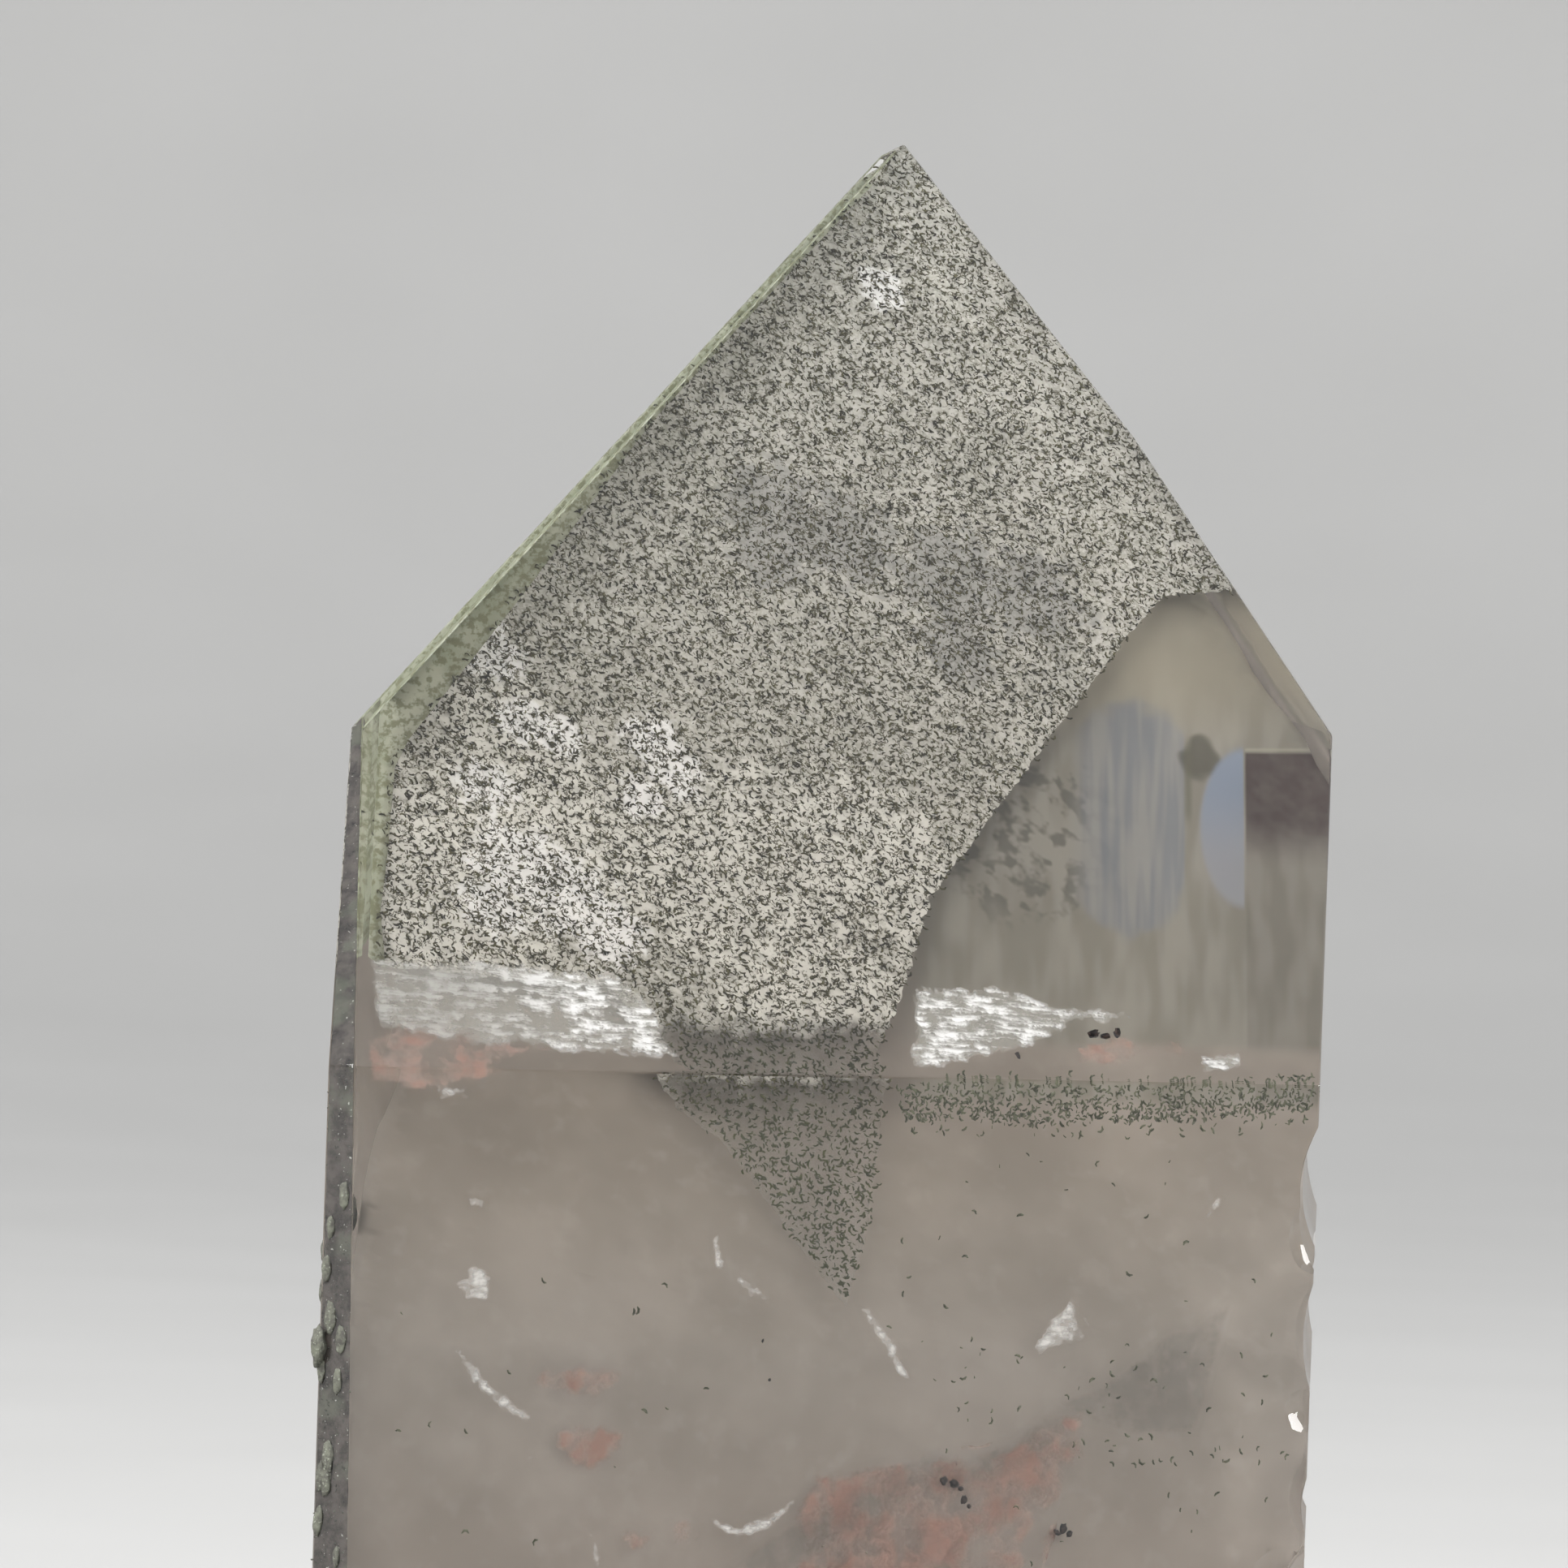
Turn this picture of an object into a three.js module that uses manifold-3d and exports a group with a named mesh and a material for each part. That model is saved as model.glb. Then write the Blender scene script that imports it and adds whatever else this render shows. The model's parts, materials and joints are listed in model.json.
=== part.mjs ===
// A single quartz crystal with a sheet of green chlorite sealed inside it.
// Millimetres, +Z up along the crystal's long axis, the viewed side towards -Y,
// origin at the middle of the flat cut base.
//
// The crystal is bounded by flat faces. Each one is given by its azimuth, which is the compass
// direction that it faces (0 looks towards -Y, 90 towards +X), and by its slope from level.

import * as THREE from "three";
import { mergeVertices } from "three/addons/utils/BufferGeometryUtils.js";
import Module from "manifold-3d";

// Driving dimensions
const TURN = 27; // the broad face is turned this far from the front, in degrees
const RHOMB_SLOPE = 51.8; // quartz's own slope for the faces of its point
const EDGE_HEIGHT = 34; // the level edge between the broad face and the point's big front face
const APEX = [1.18, 18.36, 69.53]; // where the big front face meets the left and right ones
const GAP = 0.3; // clearance between pieces that touch

// The six upright prism faces: how far each one stands from the long axis at the edge's height.
// The narrow front left one leans in a little towards the base.
const PRISM = {
  broad: { azimuth: TURN, reach: 12.14, slope: 90 },
  right: { azimuth: TURN + 60, reach: 17.79, slope: 90 },
  backRight: { azimuth: TURN + 120, reach: 20.13, slope: 90 },
  back: { azimuth: TURN + 180, reach: 18.91, slope: 90 },
  left: { azimuth: 270, reach: 18, slope: 90 },
  frontLeft: { azimuth: TURN - 60, reach: 28.06, slope: 91.1 },
};

// The faces of the point, each through one point of it.
const EDGE_CORNER = [-17.11, -22.34, EDGE_HEIGHT]; // left end of the level edge
const RIGHT_KNEE = [10.54, 12.95, 58.01]; // the right face bends here
const REAR_APEX = [1.23, 19.56, 69.53]; // the apex is a short ridge, and this is its rear end
const POINT_FACES = {
  bigFront: { azimuth: TURN, slope: RHOMB_SLOPE, through: EDGE_CORNER },
  leftSliver: { azimuth: TURN - 60, slope: 55.1, through: EDGE_CORNER },
  left: { azimuth: 270, slope: 51, through: APEX },
  rightUpper: { azimuth: TURN + 60, slope: 50.1, through: APEX },
  rightLower: { azimuth: TURN + 60, slope: 54.5, through: RIGHT_KNEE },
  backRight: { azimuth: TURN + 120, slope: RHOMB_SLOPE, through: REAR_APEX },
  back: { azimuth: TURN + 180, slope: RHOMB_SLOPE, through: REAR_APEX },
  tipChip: { azimuth: 270, slope: 30.7, through: [1.13, 18.4, 69.09] },
};
const BLANK = { width: 60, height: 160 }; // the block that the faces are cut from
const LEDGE_LAYER = 2; // how thick a layer a ledge's cut takes in front of its face

// Growth ledges: from this height up, a face is set back by this much.
const LEDGES = [
  { face: "back", height: 9.5, setBack: 0.35 },
  { face: "back", height: 52, setBack: 0.65 },
  { face: "backRight", height: 11.5, setBack: 0.4 },
  { face: "backRight", height: 45.6, setBack: 0.75 },
];

// The right side is broken from the level edge down, in shell-shaped hollows that overlap. Each one
// is given by its middle (back from the long axis, height), the half width and half height of its
// mouth, how deep it bites and its tilt.
const SHELLS = [
  { back: 2.6, height: 30.9, half: [7.4, 3.1], bite: 0.75, tilt: 6 },
  { back: 10.6, height: 31.6, half: [4.6, 3.5], bite: 0.85, tilt: -14 },
  { back: -3.6, height: 29.9, half: [2.7, 2.9], bite: 0.8, tilt: 20 },
  { back: 6.8, height: 25.6, half: [7.2, 2.5], bite: 0.55, tilt: -7 },
  { back: -2.4, height: 25.2, half: [4.2, 2.2], bite: 0.45, tilt: 13 },
  { back: 11.3, height: 22.3, half: [2.6, 3.6], bite: 0.5, tilt: 38 },
  { back: 0.2, height: 19.2, half: [5.8, 2.1], bite: 0.8, tilt: 8 },
  { back: 8.6, height: 18.4, half: [5.2, 3.3], bite: 0.95, tilt: -17 },
  { back: 1.4, height: 11.6, half: [6.6, 5.2], bite: 1.4, tilt: 12 },
  { back: 9.8, height: 12.8, half: [5.4, 4.2], bite: 1.5, tilt: -20 },
  { back: -3.9, height: 13.6, half: [2.8, 3.9], bite: 1.3, tilt: -10 },
  { back: -2.2, height: 3.2, half: [4.4, 4.4], bite: 1.2, tilt: 15 },
  { back: 5.9, height: 4.4, half: [6.2, 3.7], bite: 1.4, tilt: -8 },
  { back: 12.2, height: 4.9, half: [3.4, 5.6], bite: 1.3, tilt: 11 },
];
const SHELL_SPREAD = 3.6; // a hollow's ball is this many bites deep

// Single breaks: middle, half sizes and turns of the hollow that each one left.
const BREAKS = [
  // bites out of the front right edge
  { at: [18.4, -6.4, 28.4], size: [1.9, 2.4, 2.3], turn: [10, 0, 20] },
  { at: [18.4, -6.8, 22.2], size: [1.8, 2.5, 1.9], turn: [-8, 0, 30] },
  { at: [17.7, -7.2, 15.6], size: [2.6, 2.8, 2.4], turn: [15, 0, 10] },
  // breaks round the base
  { at: [-2, 23.7, 2.4], size: [9, 4.4, 5.2], turn: [14, 0, 12] },
  { at: [-18.9, 11, 1.6], size: [3.4, 7.6, 4.2], turn: [0, 14, 0] },
  { at: [-17.4, -23.4, 0.6], size: [3.6, 3.4, 3.8], turn: [10, 10, 0] },
  { at: [4.5, -13.9, -0.4], size: [6.5, 2.6, 2.8], turn: [12, 0, 27] },
  // a nick in the left ridge and one at the left shoulder
  { at: [-4.45, 9.35, 63.1], size: [0.55, 0.6, 0.55], turn: [0, 0, 0] },
  { at: [-18.5, -9.9, 45.4], size: [0.6, 0.9, 0.7], turn: [0, 20, 0] },
];

// Lumps of crust on the narrow left faces, as bands of height with the number of lumps in each.
const CRUST_BANDS = [
  { low: 2.5, high: 12, count: 12 },
  { low: 12, high: 21.5, count: 14 },
  { low: 22.5, high: 29.5, count: 12 },
];
const LUMP = { least: 0.3, most: 0.65, slim: 0.4, rise: 0.1 }; // half height, its share in width, and rise
const FRONT_SHARE = 0.6; // this share of the lumps sits on the front left face, the rest on the left one
const LONG_LUMP = 1.4; // lumps on the left face are longer than high by this much
const CRUST_WIDTH = 1.1; // over the front left face
const CRUST_DEPTH = 5; // back along the left face
const KNOB = { at: [-18, -21.3, 24.1], size: [0.3, 0.7, 0.75] };

// The sheet of chlorite lies in a plane that nearly follows the big front face. It would meet the
// broad face at this height, and passes this far behind the apex, measured level.
const SHEET = { foot: 24.2, behindApex: 1.9, thickness: 0.5 };
const SHEET_SUNK = GAP / 2; // its top lies this far under that plane
const POCKET_STEPS = 12; // directions in which its pocket is widened
// Its outline, across from the middle of the broad face and up the slope from the sheet's foot.
const SHEET_OUTLINE = [
  [-5.2, 2.1],
  [-3.8, 5.6],
  [-2.4, 11.1],
  [1.6, 17.9],
  [8.6, 25.3],
  [15.4, 32.2],
  [17.8, 32.6],
  [17.7, 34.7],
  [16.2, 39.8],
  [10.2, 52],
  [9, 52],
  [-18.2, 25],
  [-21.3, 13.8],
  [-13, 13.5],
  [-11.1, 10.3],
  [-9.1, 8.9],
  [-6.8, 4.9],
];

// The chlorite coats the older crystal's left side too. There it is this edge of the sheet drawn
// straight back, kept this far short of the rear faces.
const WING_EDGE = [
  [9, 52],
  [-18.2, 25],
  [-21.3, 13.8],
];
const WING_SHORT = 1.2;

const wasm = await Module();
wasm.setup();
const radians = THREE.MathUtils.degToRad;

// Solids and geometries

function toSolid(geometry) {
  const bare = geometry.clone();
  bare.deleteAttribute("normal");
  bare.deleteAttribute("uv");
  const merged = mergeVertices(bare, 1e-4);
  return new wasm.Manifold(
    new wasm.Mesh({
      numProp: 3,
      vertProperties: new Float32Array(merged.attributes.position.array),
      triVerts: new Uint32Array(merged.index.array),
    }),
  );
}

function toGeometry(solid) {
  const mesh = solid.getMesh();
  const geometry = new THREE.BufferGeometry();
  geometry.setAttribute("position", new THREE.BufferAttribute(mesh.vertProperties, 3));
  geometry.setIndex(new THREE.BufferAttribute(mesh.triVerts, 1));
  geometry.computeVertexNormals();
  return geometry;
}

// The direction that a face looks in.
function outward(azimuth, slope) {
  const level = Math.sin(radians(slope));
  return new THREE.Vector3(
    Math.sin(radians(azimuth)) * level,
    -Math.cos(radians(azimuth)) * level,
    Math.cos(radians(slope)),
  );
}

// Everything in front of a flat face, as a block that stands on it.
function inFrontOf({ azimuth, slope, through }) {
  const normal = outward(azimuth, slope);
  const block = new THREE.BoxGeometry(BLANK.height, BLANK.height, BLANK.height);
  block.translate(0, 0, BLANK.height / 2);
  block.applyQuaternion(new THREE.Quaternion().setFromUnitVectors(new THREE.Vector3(0, 0, 1), normal));
  block.translate(...through);
  return toSolid(block);
}

function prismPlane({ azimuth, reach, slope }) {
  const foot = outward(azimuth, 90).multiplyScalar(reach);
  return { azimuth, slope, through: [foot.x, foot.y, EDGE_HEIGHT] };
}

// A rounded hollow or lump: a ball stretched to its half sizes, then turned about X, Y and Z.
function rounded(at, size, turn = [0, 0, 0], detail = 3) {
  const ball = new THREE.IcosahedronGeometry(1, detail);
  const place = new THREE.Matrix4().compose(
    new THREE.Vector3(...at),
    new THREE.Quaternion().setFromEuler(new THREE.Euler(...turn.map(radians))),
    new THREE.Vector3(...size),
  );
  return toSolid(ball.applyMatrix4(place));
}

// The whole crystal

function facetedBlank() {
  const block = new THREE.BoxGeometry(BLANK.width, BLANK.width, BLANK.height);
  block.translate(0, 0, BLANK.height / 2);
  let crystal = toSolid(block);
  for (const face of Object.values(PRISM)) crystal = crystal.subtract(inFrontOf(prismPlane(face)));
  for (const face of Object.values(POINT_FACES)) crystal = crystal.subtract(inFrontOf(face));
  return crystal;
}

// What a growth ledge takes off: the layer in front of the set back face, from its height up.
function ledgeLayer({ face, height, setBack }) {
  const { azimuth, reach } = PRISM[face];
  const layer = new THREE.BoxGeometry(BLANK.width, LEDGE_LAYER, BLANK.height);
  layer.translate(0, setBack - reach - LEDGE_LAYER / 2, height + BLANK.height / 2);
  layer.rotateZ(radians(azimuth));
  return toSolid(layer);
}

// A repeatable sequence of numbers between 0 and 1.
function dice(seed) {
  let state = seed;
  return () => {
    state = (state * 16807) % 2147483647;
    return state / 2147483647;
  };
}

// The upright edge between the left face and the front left one, at a height. The front left
// face leans in towards the base, and the edge with it.
function leftEdge(height) {
  const { azimuth, reach, slope } = PRISM.frontLeft;
  const facing = outward(azimuth, 90);
  const lean = (EDGE_HEIGHT - height) * Math.tan(radians(slope - 90));
  return [-PRISM.left.reach, (reach - lean + facing.x * PRISM.left.reach) / facing.y];
}

function crustLumps() {
  const roll = dice(83);
  const lumps = [rounded(KNOB.at, KNOB.size, [0, 0, 0], 1)];
  const strip = outward(PRISM.frontLeft.azimuth + 90, 90); // along the narrow face, to the right
  for (const { low, high, count } of CRUST_BANDS) {
    for (let i = 0; i < count; i += 1) {
      const height = low + ((i + roll()) * (high - low)) / count;
      const half = LUMP.least + roll() * (LUMP.most - LUMP.least);
      const along = roll() < FRONT_SHARE ? roll() * CRUST_WIDTH : -roll() * CRUST_DEPTH;
      const corner = leftEdge(height);
      const at =
        along > 0
          ? [corner[0] + strip.x * along, corner[1] + strip.y * along, height]
          : [corner[0], corner[1] - along, height];
      const size = along > 0 ? [half * LUMP.slim, LUMP.rise, half] : [LUMP.rise, half * LONG_LUMP, half];
      lumps.push(rounded(at, size, [0, 0, along > 0 ? PRISM.frontLeft.azimuth : 0], 1));
    }
  }
  return lumps;
}

// A shell-shaped hollow in the right face: its ball reaches past the face, and the part of it
// inside the face has the mouth and the depth that are asked for.
function shell({ back, height, half, bite, tilt }) {
  const { azimuth, reach } = PRISM.right;
  const facing = outward(azimuth, 90);
  const face = (reach - facing.y * back) / facing.x;
  const deep = bite * SHELL_SPREAD;
  const grow = 1 / Math.sqrt(1 - (1 - 1 / SHELL_SPREAD) ** 2);
  const at = [face + deep - bite, back, height];
  return rounded(at, [deep, half[0] * grow, half[1] * grow], [tilt, 0, azimuth - 90]);
}

function wholeCrystal() {
  let crystal = facetedBlank();
  for (const ledge of LEDGES) crystal = crystal.subtract(ledgeLayer(ledge));
  for (const hollow of SHELLS) crystal = crystal.subtract(shell(hollow));
  for (const { at, size, turn } of BREAKS) crystal = crystal.subtract(rounded(at, size, turn));
  for (const lump of crustLumps()) crystal = crystal.add(lump);
  const underBase = new THREE.BoxGeometry(BLANK.width * 2, BLANK.width * 2, BLANK.width);
  underBase.translate(0, 0, -BLANK.width / 2);
  return crystal.subtract(toSolid(underBase));
}

// The sheet's plane, as a frame: across, up the slope, and outward.

function sheetFrame() {
  const level = outward(TURN, 90);
  const foot = level.clone().multiplyScalar(PRISM.broad.reach).setZ(SHEET.foot);
  const run = PRISM.broad.reach + SHEET.behindApex - level.dot(new THREE.Vector3(APEX[0], APEX[1], 0));
  const slope = THREE.MathUtils.radToDeg(Math.atan2(APEX[2] - SHEET.foot, run));
  const normal = outward(TURN, slope);
  const across = new THREE.Vector3(Math.cos(radians(TURN)), Math.sin(radians(TURN)), 0);
  const up = new THREE.Vector3().crossVectors(normal, across);
  return { foot, slope, normal, across, up };
}

const frame = sheetFrame();

// The sheet's outline made into a plate, moved in its own plane and sunk under it.
function plate(thickness, sunk, shift = [0, 0]) {
  const outline = new THREE.Shape(SHEET_OUTLINE.map(([x, y]) => new THREE.Vector2(x, y)));
  const body = new THREE.ExtrudeGeometry(outline, { depth: thickness, bevelEnabled: false });
  body.translate(shift[0], shift[1], -sunk - thickness);
  const place = new THREE.Matrix4().makeBasis(frame.across, frame.up, frame.normal);
  return toSolid(body.applyMatrix4(place.setPosition(frame.foot)));
}

function partingBlock(offset, side) {
  const through = frame.foot.clone().addScaledVector(frame.normal, offset);
  const facing = side > 0 ? frame.slope : frame.slope + 180;
  return inFrontOf({ azimuth: TURN, slope: facing, through: through.toArray() });
}

// The coat on the left side, with some room added all round it.
function wing(room) {
  const back = new THREE.Vector3(0, 1, 0);
  const corners = WING_EDGE.map(([x, y]) =>
    frame.foot.clone().addScaledVector(frame.across, x).addScaledVector(frame.up, y),
  );
  const slabs = corners.slice(1).map((to, i) => {
    const along = to.clone().sub(corners[i]).setY(0);
    const length = along.length();
    const slab = new THREE.BoxGeometry(length + 2 * room, 2 * BLANK.width, SHEET.thickness + 2 * room);
    slab.translate(length / 2, 0, SHEET.thickness / 2);
    const inward = new THREE.Vector3().crossVectors(along.normalize(), back);
    const place = new THREE.Matrix4().makeBasis(along, back, inward).setPosition(corners[i]);
    return toSolid(slab.applyMatrix4(place));
  });
  let coat = slabs[0].add(slabs[1]).subtract(partingBlock(room - SHEET_SUNK, 1));
  const rear = [prismPlane(PRISM.back), prismPlane(PRISM.backRight), POINT_FACES.back, POINT_FACES.backRight];
  for (const { azimuth, slope, through } of rear) {
    const inside = outward(azimuth, slope).multiplyScalar(room - WING_SHORT - GAP);
    const limit = new THREE.Vector3(...through).add(inside).toArray();
    coat = coat.subtract(inFrontOf({ azimuth, slope, through: limit }));
  }
  return coat;
}

// The pocket has room all round the sheet and beneath it.
function pocket() {
  const depth = SHEET.thickness + 2 * GAP;
  let room = plate(depth, SHEET_SUNK - GAP).add(wing(GAP));
  for (let i = 0; i < POCKET_STEPS; i += 1) {
    const angle = (2 * Math.PI * i) / POCKET_STEPS;
    room = room.add(plate(depth, SHEET_SUNK - GAP, [GAP * Math.cos(angle), GAP * Math.sin(angle)]));
  }
  return room;
}

// The parts

function part(name, solid, look) {
  const mesh = new THREE.Mesh(toGeometry(solid), new THREE.MeshStandardMaterial(look));
  mesh.name = name;
  return mesh;
}

const QUARTZ = { color: 0xcfc6ba, roughness: 0.08, metalness: 0, transparent: true, opacity: 0.45 };
const CHLORITE = { color: 0x6b6a52, roughness: 0.85, metalness: 0 };

const crystal = wholeCrystal();
const group = new THREE.Group();
group.add(part("quartz_body", crystal.subtract(partingBlock(-GAP / 2, 1)).subtract(pocket()), QUARTZ));
group.add(part("quartz_cap", crystal.subtract(partingBlock(GAP / 2, -1)), QUARTZ));
group.add(part("chlorite_phantom", plate(SHEET.thickness, SHEET_SUNK).add(wing(0)), CHLORITE));

export default group;
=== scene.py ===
# %% [markdown]
# # A chlorite quartz crystal
# A single clear quartz point. While it grew, fine green chlorite settled on its big front face, and
# the next layer of quartz sealed that dusting in. This lesson dresses the measured solid: the clear
# crystal itself, then everything that is sealed inside it, then the crust on its narrow left side.
# The frame gives the solid's size and place, so nothing here needs fitting by eye.

import json
import math
from random import Random

import bmesh
import bpy
from mathutils import Matrix, Vector, geometry, noise

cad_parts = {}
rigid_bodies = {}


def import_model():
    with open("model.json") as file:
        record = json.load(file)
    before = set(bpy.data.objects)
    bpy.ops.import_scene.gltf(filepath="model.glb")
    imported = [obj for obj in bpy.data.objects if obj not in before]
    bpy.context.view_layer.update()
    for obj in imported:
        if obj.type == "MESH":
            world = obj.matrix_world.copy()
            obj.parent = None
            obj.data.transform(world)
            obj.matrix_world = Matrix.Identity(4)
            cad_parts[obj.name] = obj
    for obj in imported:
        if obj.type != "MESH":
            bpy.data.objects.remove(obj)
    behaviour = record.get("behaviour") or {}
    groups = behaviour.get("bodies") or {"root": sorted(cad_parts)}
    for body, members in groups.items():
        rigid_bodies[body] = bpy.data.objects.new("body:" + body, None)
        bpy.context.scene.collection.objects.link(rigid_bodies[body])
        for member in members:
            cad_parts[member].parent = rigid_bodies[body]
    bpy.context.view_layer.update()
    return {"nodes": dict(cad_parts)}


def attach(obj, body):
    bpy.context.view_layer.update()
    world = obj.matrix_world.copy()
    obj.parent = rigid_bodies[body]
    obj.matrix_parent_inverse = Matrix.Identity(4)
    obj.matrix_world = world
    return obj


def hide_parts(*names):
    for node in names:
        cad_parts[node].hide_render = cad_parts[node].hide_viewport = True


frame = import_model()
MM = 0.001
print("solids in the frame:", sorted(frame["nodes"]))

# %% [markdown]
# ## The camera
# The photo was taken level, from about 40 cm, with the crystal leaning two degrees clockwise in the
# picture. The place and the lens come from fitting the crystal's corners to the picture. The same
# numbers serve later to find what lies behind a given pixel.

# %% Camera
PHOTO = 1932  # the picture's width and height in pixels
FOCAL = 13315  # the fitted focal length in pixels
EYE = Vector((-2.4, -400, 44.35))  # millimetres
LEAN = math.radians(1.93)

camera = bpy.data.objects.new("camera", bpy.data.cameras.new("camera"))
camera.data.sensor_width = 36
camera.data.lens = FOCAL * camera.data.sensor_width / PHOTO
camera.data.clip_start = 0.01
camera.location = EYE * MM
camera.rotation_euler = (math.radians(90), -LEAN, 0)
bpy.context.collection.objects.link(camera)
bpy.context.scene.camera = camera
print("lens", round(camera.data.lens, 1), "mm")

# %% [markdown]
# ## Shader maths
# A material is a set of nodes. Written out one by one they are hard to read, so a `Wire` stands for
# one socket and turns sums in Python into Math nodes, and a `Finish` makes a material and adds any
# other node in one line.


# %% Wires and finishes
class Wire:
    def __init__(self, finish, socket):
        self.finish, self.socket = finish, socket

    def math(self, operation, *values):
        settings = {"operation": operation}
        return self.finish.node("Math", settings, dict(enumerate(values)))

    def __add__(self, other):
        return self.math("ADD", self, other)

    def __sub__(self, other):
        return self.math("SUBTRACT", self, other)

    def __rsub__(self, other):
        return self.math("SUBTRACT", other, self)

    def __mul__(self, other):
        return self.math("MULTIPLY", self, other)

    def __truediv__(self, other):
        return self.math("DIVIDE", self, other)

    __radd__, __rmul__ = __add__, __mul__

    def larger(self, other):
        return self.math("MAXIMUM", self, other)

    def step(self, low, high):
        settings = {"interpolation_type": "SMOOTHSTEP"}
        return self.finish.node("MapRange", settings, {"Value": self, "From Min": low, "From Max": high})


class Finish:
    def __init__(self, name, **values):
        self.material = bpy.data.materials.new(name)
        self.material.use_nodes = True
        self.tree = self.material.node_tree
        self.shader = self.tree.nodes["Principled BSDF"]
        self.output = self.tree.nodes["Material Output"]
        self.set(**values)

    # A grain or film sealed in quartz hardly shines, because quartz bends light nearly as it does.
    SEALED = {"Specular_IOR_Level": 0.08}

    def set(self, **values):
        for name, value in values.items():
            self.feed(self.shader.inputs[name.replace("_", " ")], value)

    def feed(self, socket, value):
        if isinstance(value, Wire):
            self.tree.links.new(value.socket, socket)
        elif isinstance(value, tuple) and len(value) == 3 and socket.type == "RGBA":
            socket.default_value = (*value, 1)
        else:
            socket.default_value = value

    def node(self, kind, settings=None, sockets=None, out=0):
        made = self.tree.nodes.new("ShaderNode" + kind)
        for name, value in (settings or {}).items():
            if name == "stops":
                while len(made.color_ramp.elements) < len(value):
                    made.color_ramp.elements.new(1)
                for element, (place, colour) in zip(made.color_ramp.elements, value):
                    element.position, element.color = place, (*colour, 1)
            else:
                setattr(made, name, value)
        for name, value in (sockets or {}).items():
            self.feed(made.inputs[name], value)
        return Wire(self, made.outputs[out])

    def place(self, scale=(1 / MM,) * 3, turn=(0, 0, 0)):
        """The piece's own coordinates in millimetres, or in units of 1 / scale."""
        spot = self.node("TexCoord", out="Object")
        return self.node("Mapping", None, {"Vector": spot, "Rotation": turn, "Scale": scale})

    def noise(self, place, size, detail=2, roughness=0.5):
        """Cloudy noise from 0 to 1 with features of about this size."""
        sockets = {"Vector": place, "Scale": 1 / size, "Detail": detail, "Roughness": roughness}
        return self.node("TexNoise", None, sockets)

    def grid(self, x, y):
        """A place made of two wires."""
        return self.node("CombineXYZ", None, {0: x, 1: y})

    def along(self, place, way):
        """How far a place lies along a direction."""
        return self.node("VectorMath", {"operation": "DOT_PRODUCT"}, {0: place, 1: tuple(way)}, out=1)

    def blend(self, amount, a, b):
        """Colour a where amount is 0, colour b where it is 1."""
        settings = {"data_type": "RGBA"}
        return self.node("Mix", settings, {0: amount, 6: a, 7: b}, out=2)

    def bump(self, height, depth, strength=1.0):
        """A normal from a height that runs from 0 to 1 and stands for depth in metres."""
        return self.node("Bump", None, {"Height": height, "Distance": depth, "Strength": strength})


def dress(piece, finish):
    """Gives the piece its finish and ties it to the solid."""
    piece.data.materials.clear()
    piece.data.materials.append(finish.material)
    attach(piece, "root")


print("helpers ready")

# %% [markdown]
# ## The crystal's faces
# Quartz keeps its angles: six upright prism faces sixty degrees apart, and a point of sloping faces
# on top. The crystal could be cut from a block by one plane after another, as a lapidary would, and
# that is how it is made here, with the same planes as the solid in the frame. A face is given by its
# azimuth (0 looks to the viewer, 90 to the right), its slope from level and a point on it.

# %% Face planes
INDEX = 1.544  # how strongly quartz bends light
TURN, RHOMB, EDGE = 27, 51.8, 34  # the broad face's turn, the point's slope, the level edge's height
CORNER = (-17.11, -22.34, EDGE)  # left end of the level edge
APEX = (1.18, 18.36, 69.53)
REAR_APEX = (1.23, 19.56, 69.53)
REACH = {  # how far each prism face stands from the axis at the level edge's height
    "broad": (TURN, 12.14, 90),
    "right": (TURN + 60, 17.79, 90),
    "back right": (TURN + 120, 20.13, 90),
    "back": (TURN + 180, 18.91, 90),
    "left": (270, 18, 90),
    "front left": (TURN - 60, 28.06, 91.1),
}


def outward(azimuth, slope):
    a, s = math.radians(azimuth), math.radians(slope)
    return Vector((math.sin(a) * math.sin(s), -math.cos(a) * math.sin(s), math.cos(s)))


def upright(azimuth, reach, slope=90):
    return azimuth, slope, outward(azimuth, 90) * reach + Vector((0, 0, EDGE))


BROAD, BROAD_OUT = REACH["broad"][1], outward(TURN, 90)
LEFT = REACH["left"][1]
FACES = {name: upright(*reach) for name, reach in REACH.items()}
FACES |= {
    "big front": (TURN, RHOMB, CORNER),
    "left sliver": (TURN - 60, 55.1, CORNER),
    "left point": (270, 51, APEX),
    "right upper": (TURN + 60, 50.1, APEX),
    "right lower": (TURN + 60, 54.5, (10.54, 12.95, 58.01)),
    "rear right": (TURN + 120, RHOMB, REAR_APEX),
    "rear": (TURN + 180, RHOMB, REAR_APEX),
    "tip chip": (270, 30.7, (1.13, 18.4, 69.09)),
    "base": (0, 180, (0, 0, 0)),
}
print(len(FACES), "faces")

# %% Cut the block
BLOCK = 160  # the block's width, well over the crystal's
ROUNDING = 0.07  # how far the edges are worn back


def new_piece(name, mesh):
    """A finished bmesh in millimetres becomes an object in metres."""
    bmesh.ops.scale(mesh, vec=(MM, MM, MM), verts=mesh.verts)
    piece = bpy.data.objects.new(name, bpy.data.meshes.new(name))
    mesh.to_mesh(piece.data)
    mesh.free()
    bpy.context.collection.objects.link(piece)
    return piece


def slice_off(mesh, point, facing, dist=1e-5):
    """Cuts away all of the mesh that lies in front of a plane."""
    geom = mesh.verts[:] + mesh.edges[:] + mesh.faces[:]
    return bmesh.ops.bisect_plane(
        mesh, geom=geom, dist=dist, plane_co=point, plane_no=facing, clear_outer=True
    )


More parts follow.
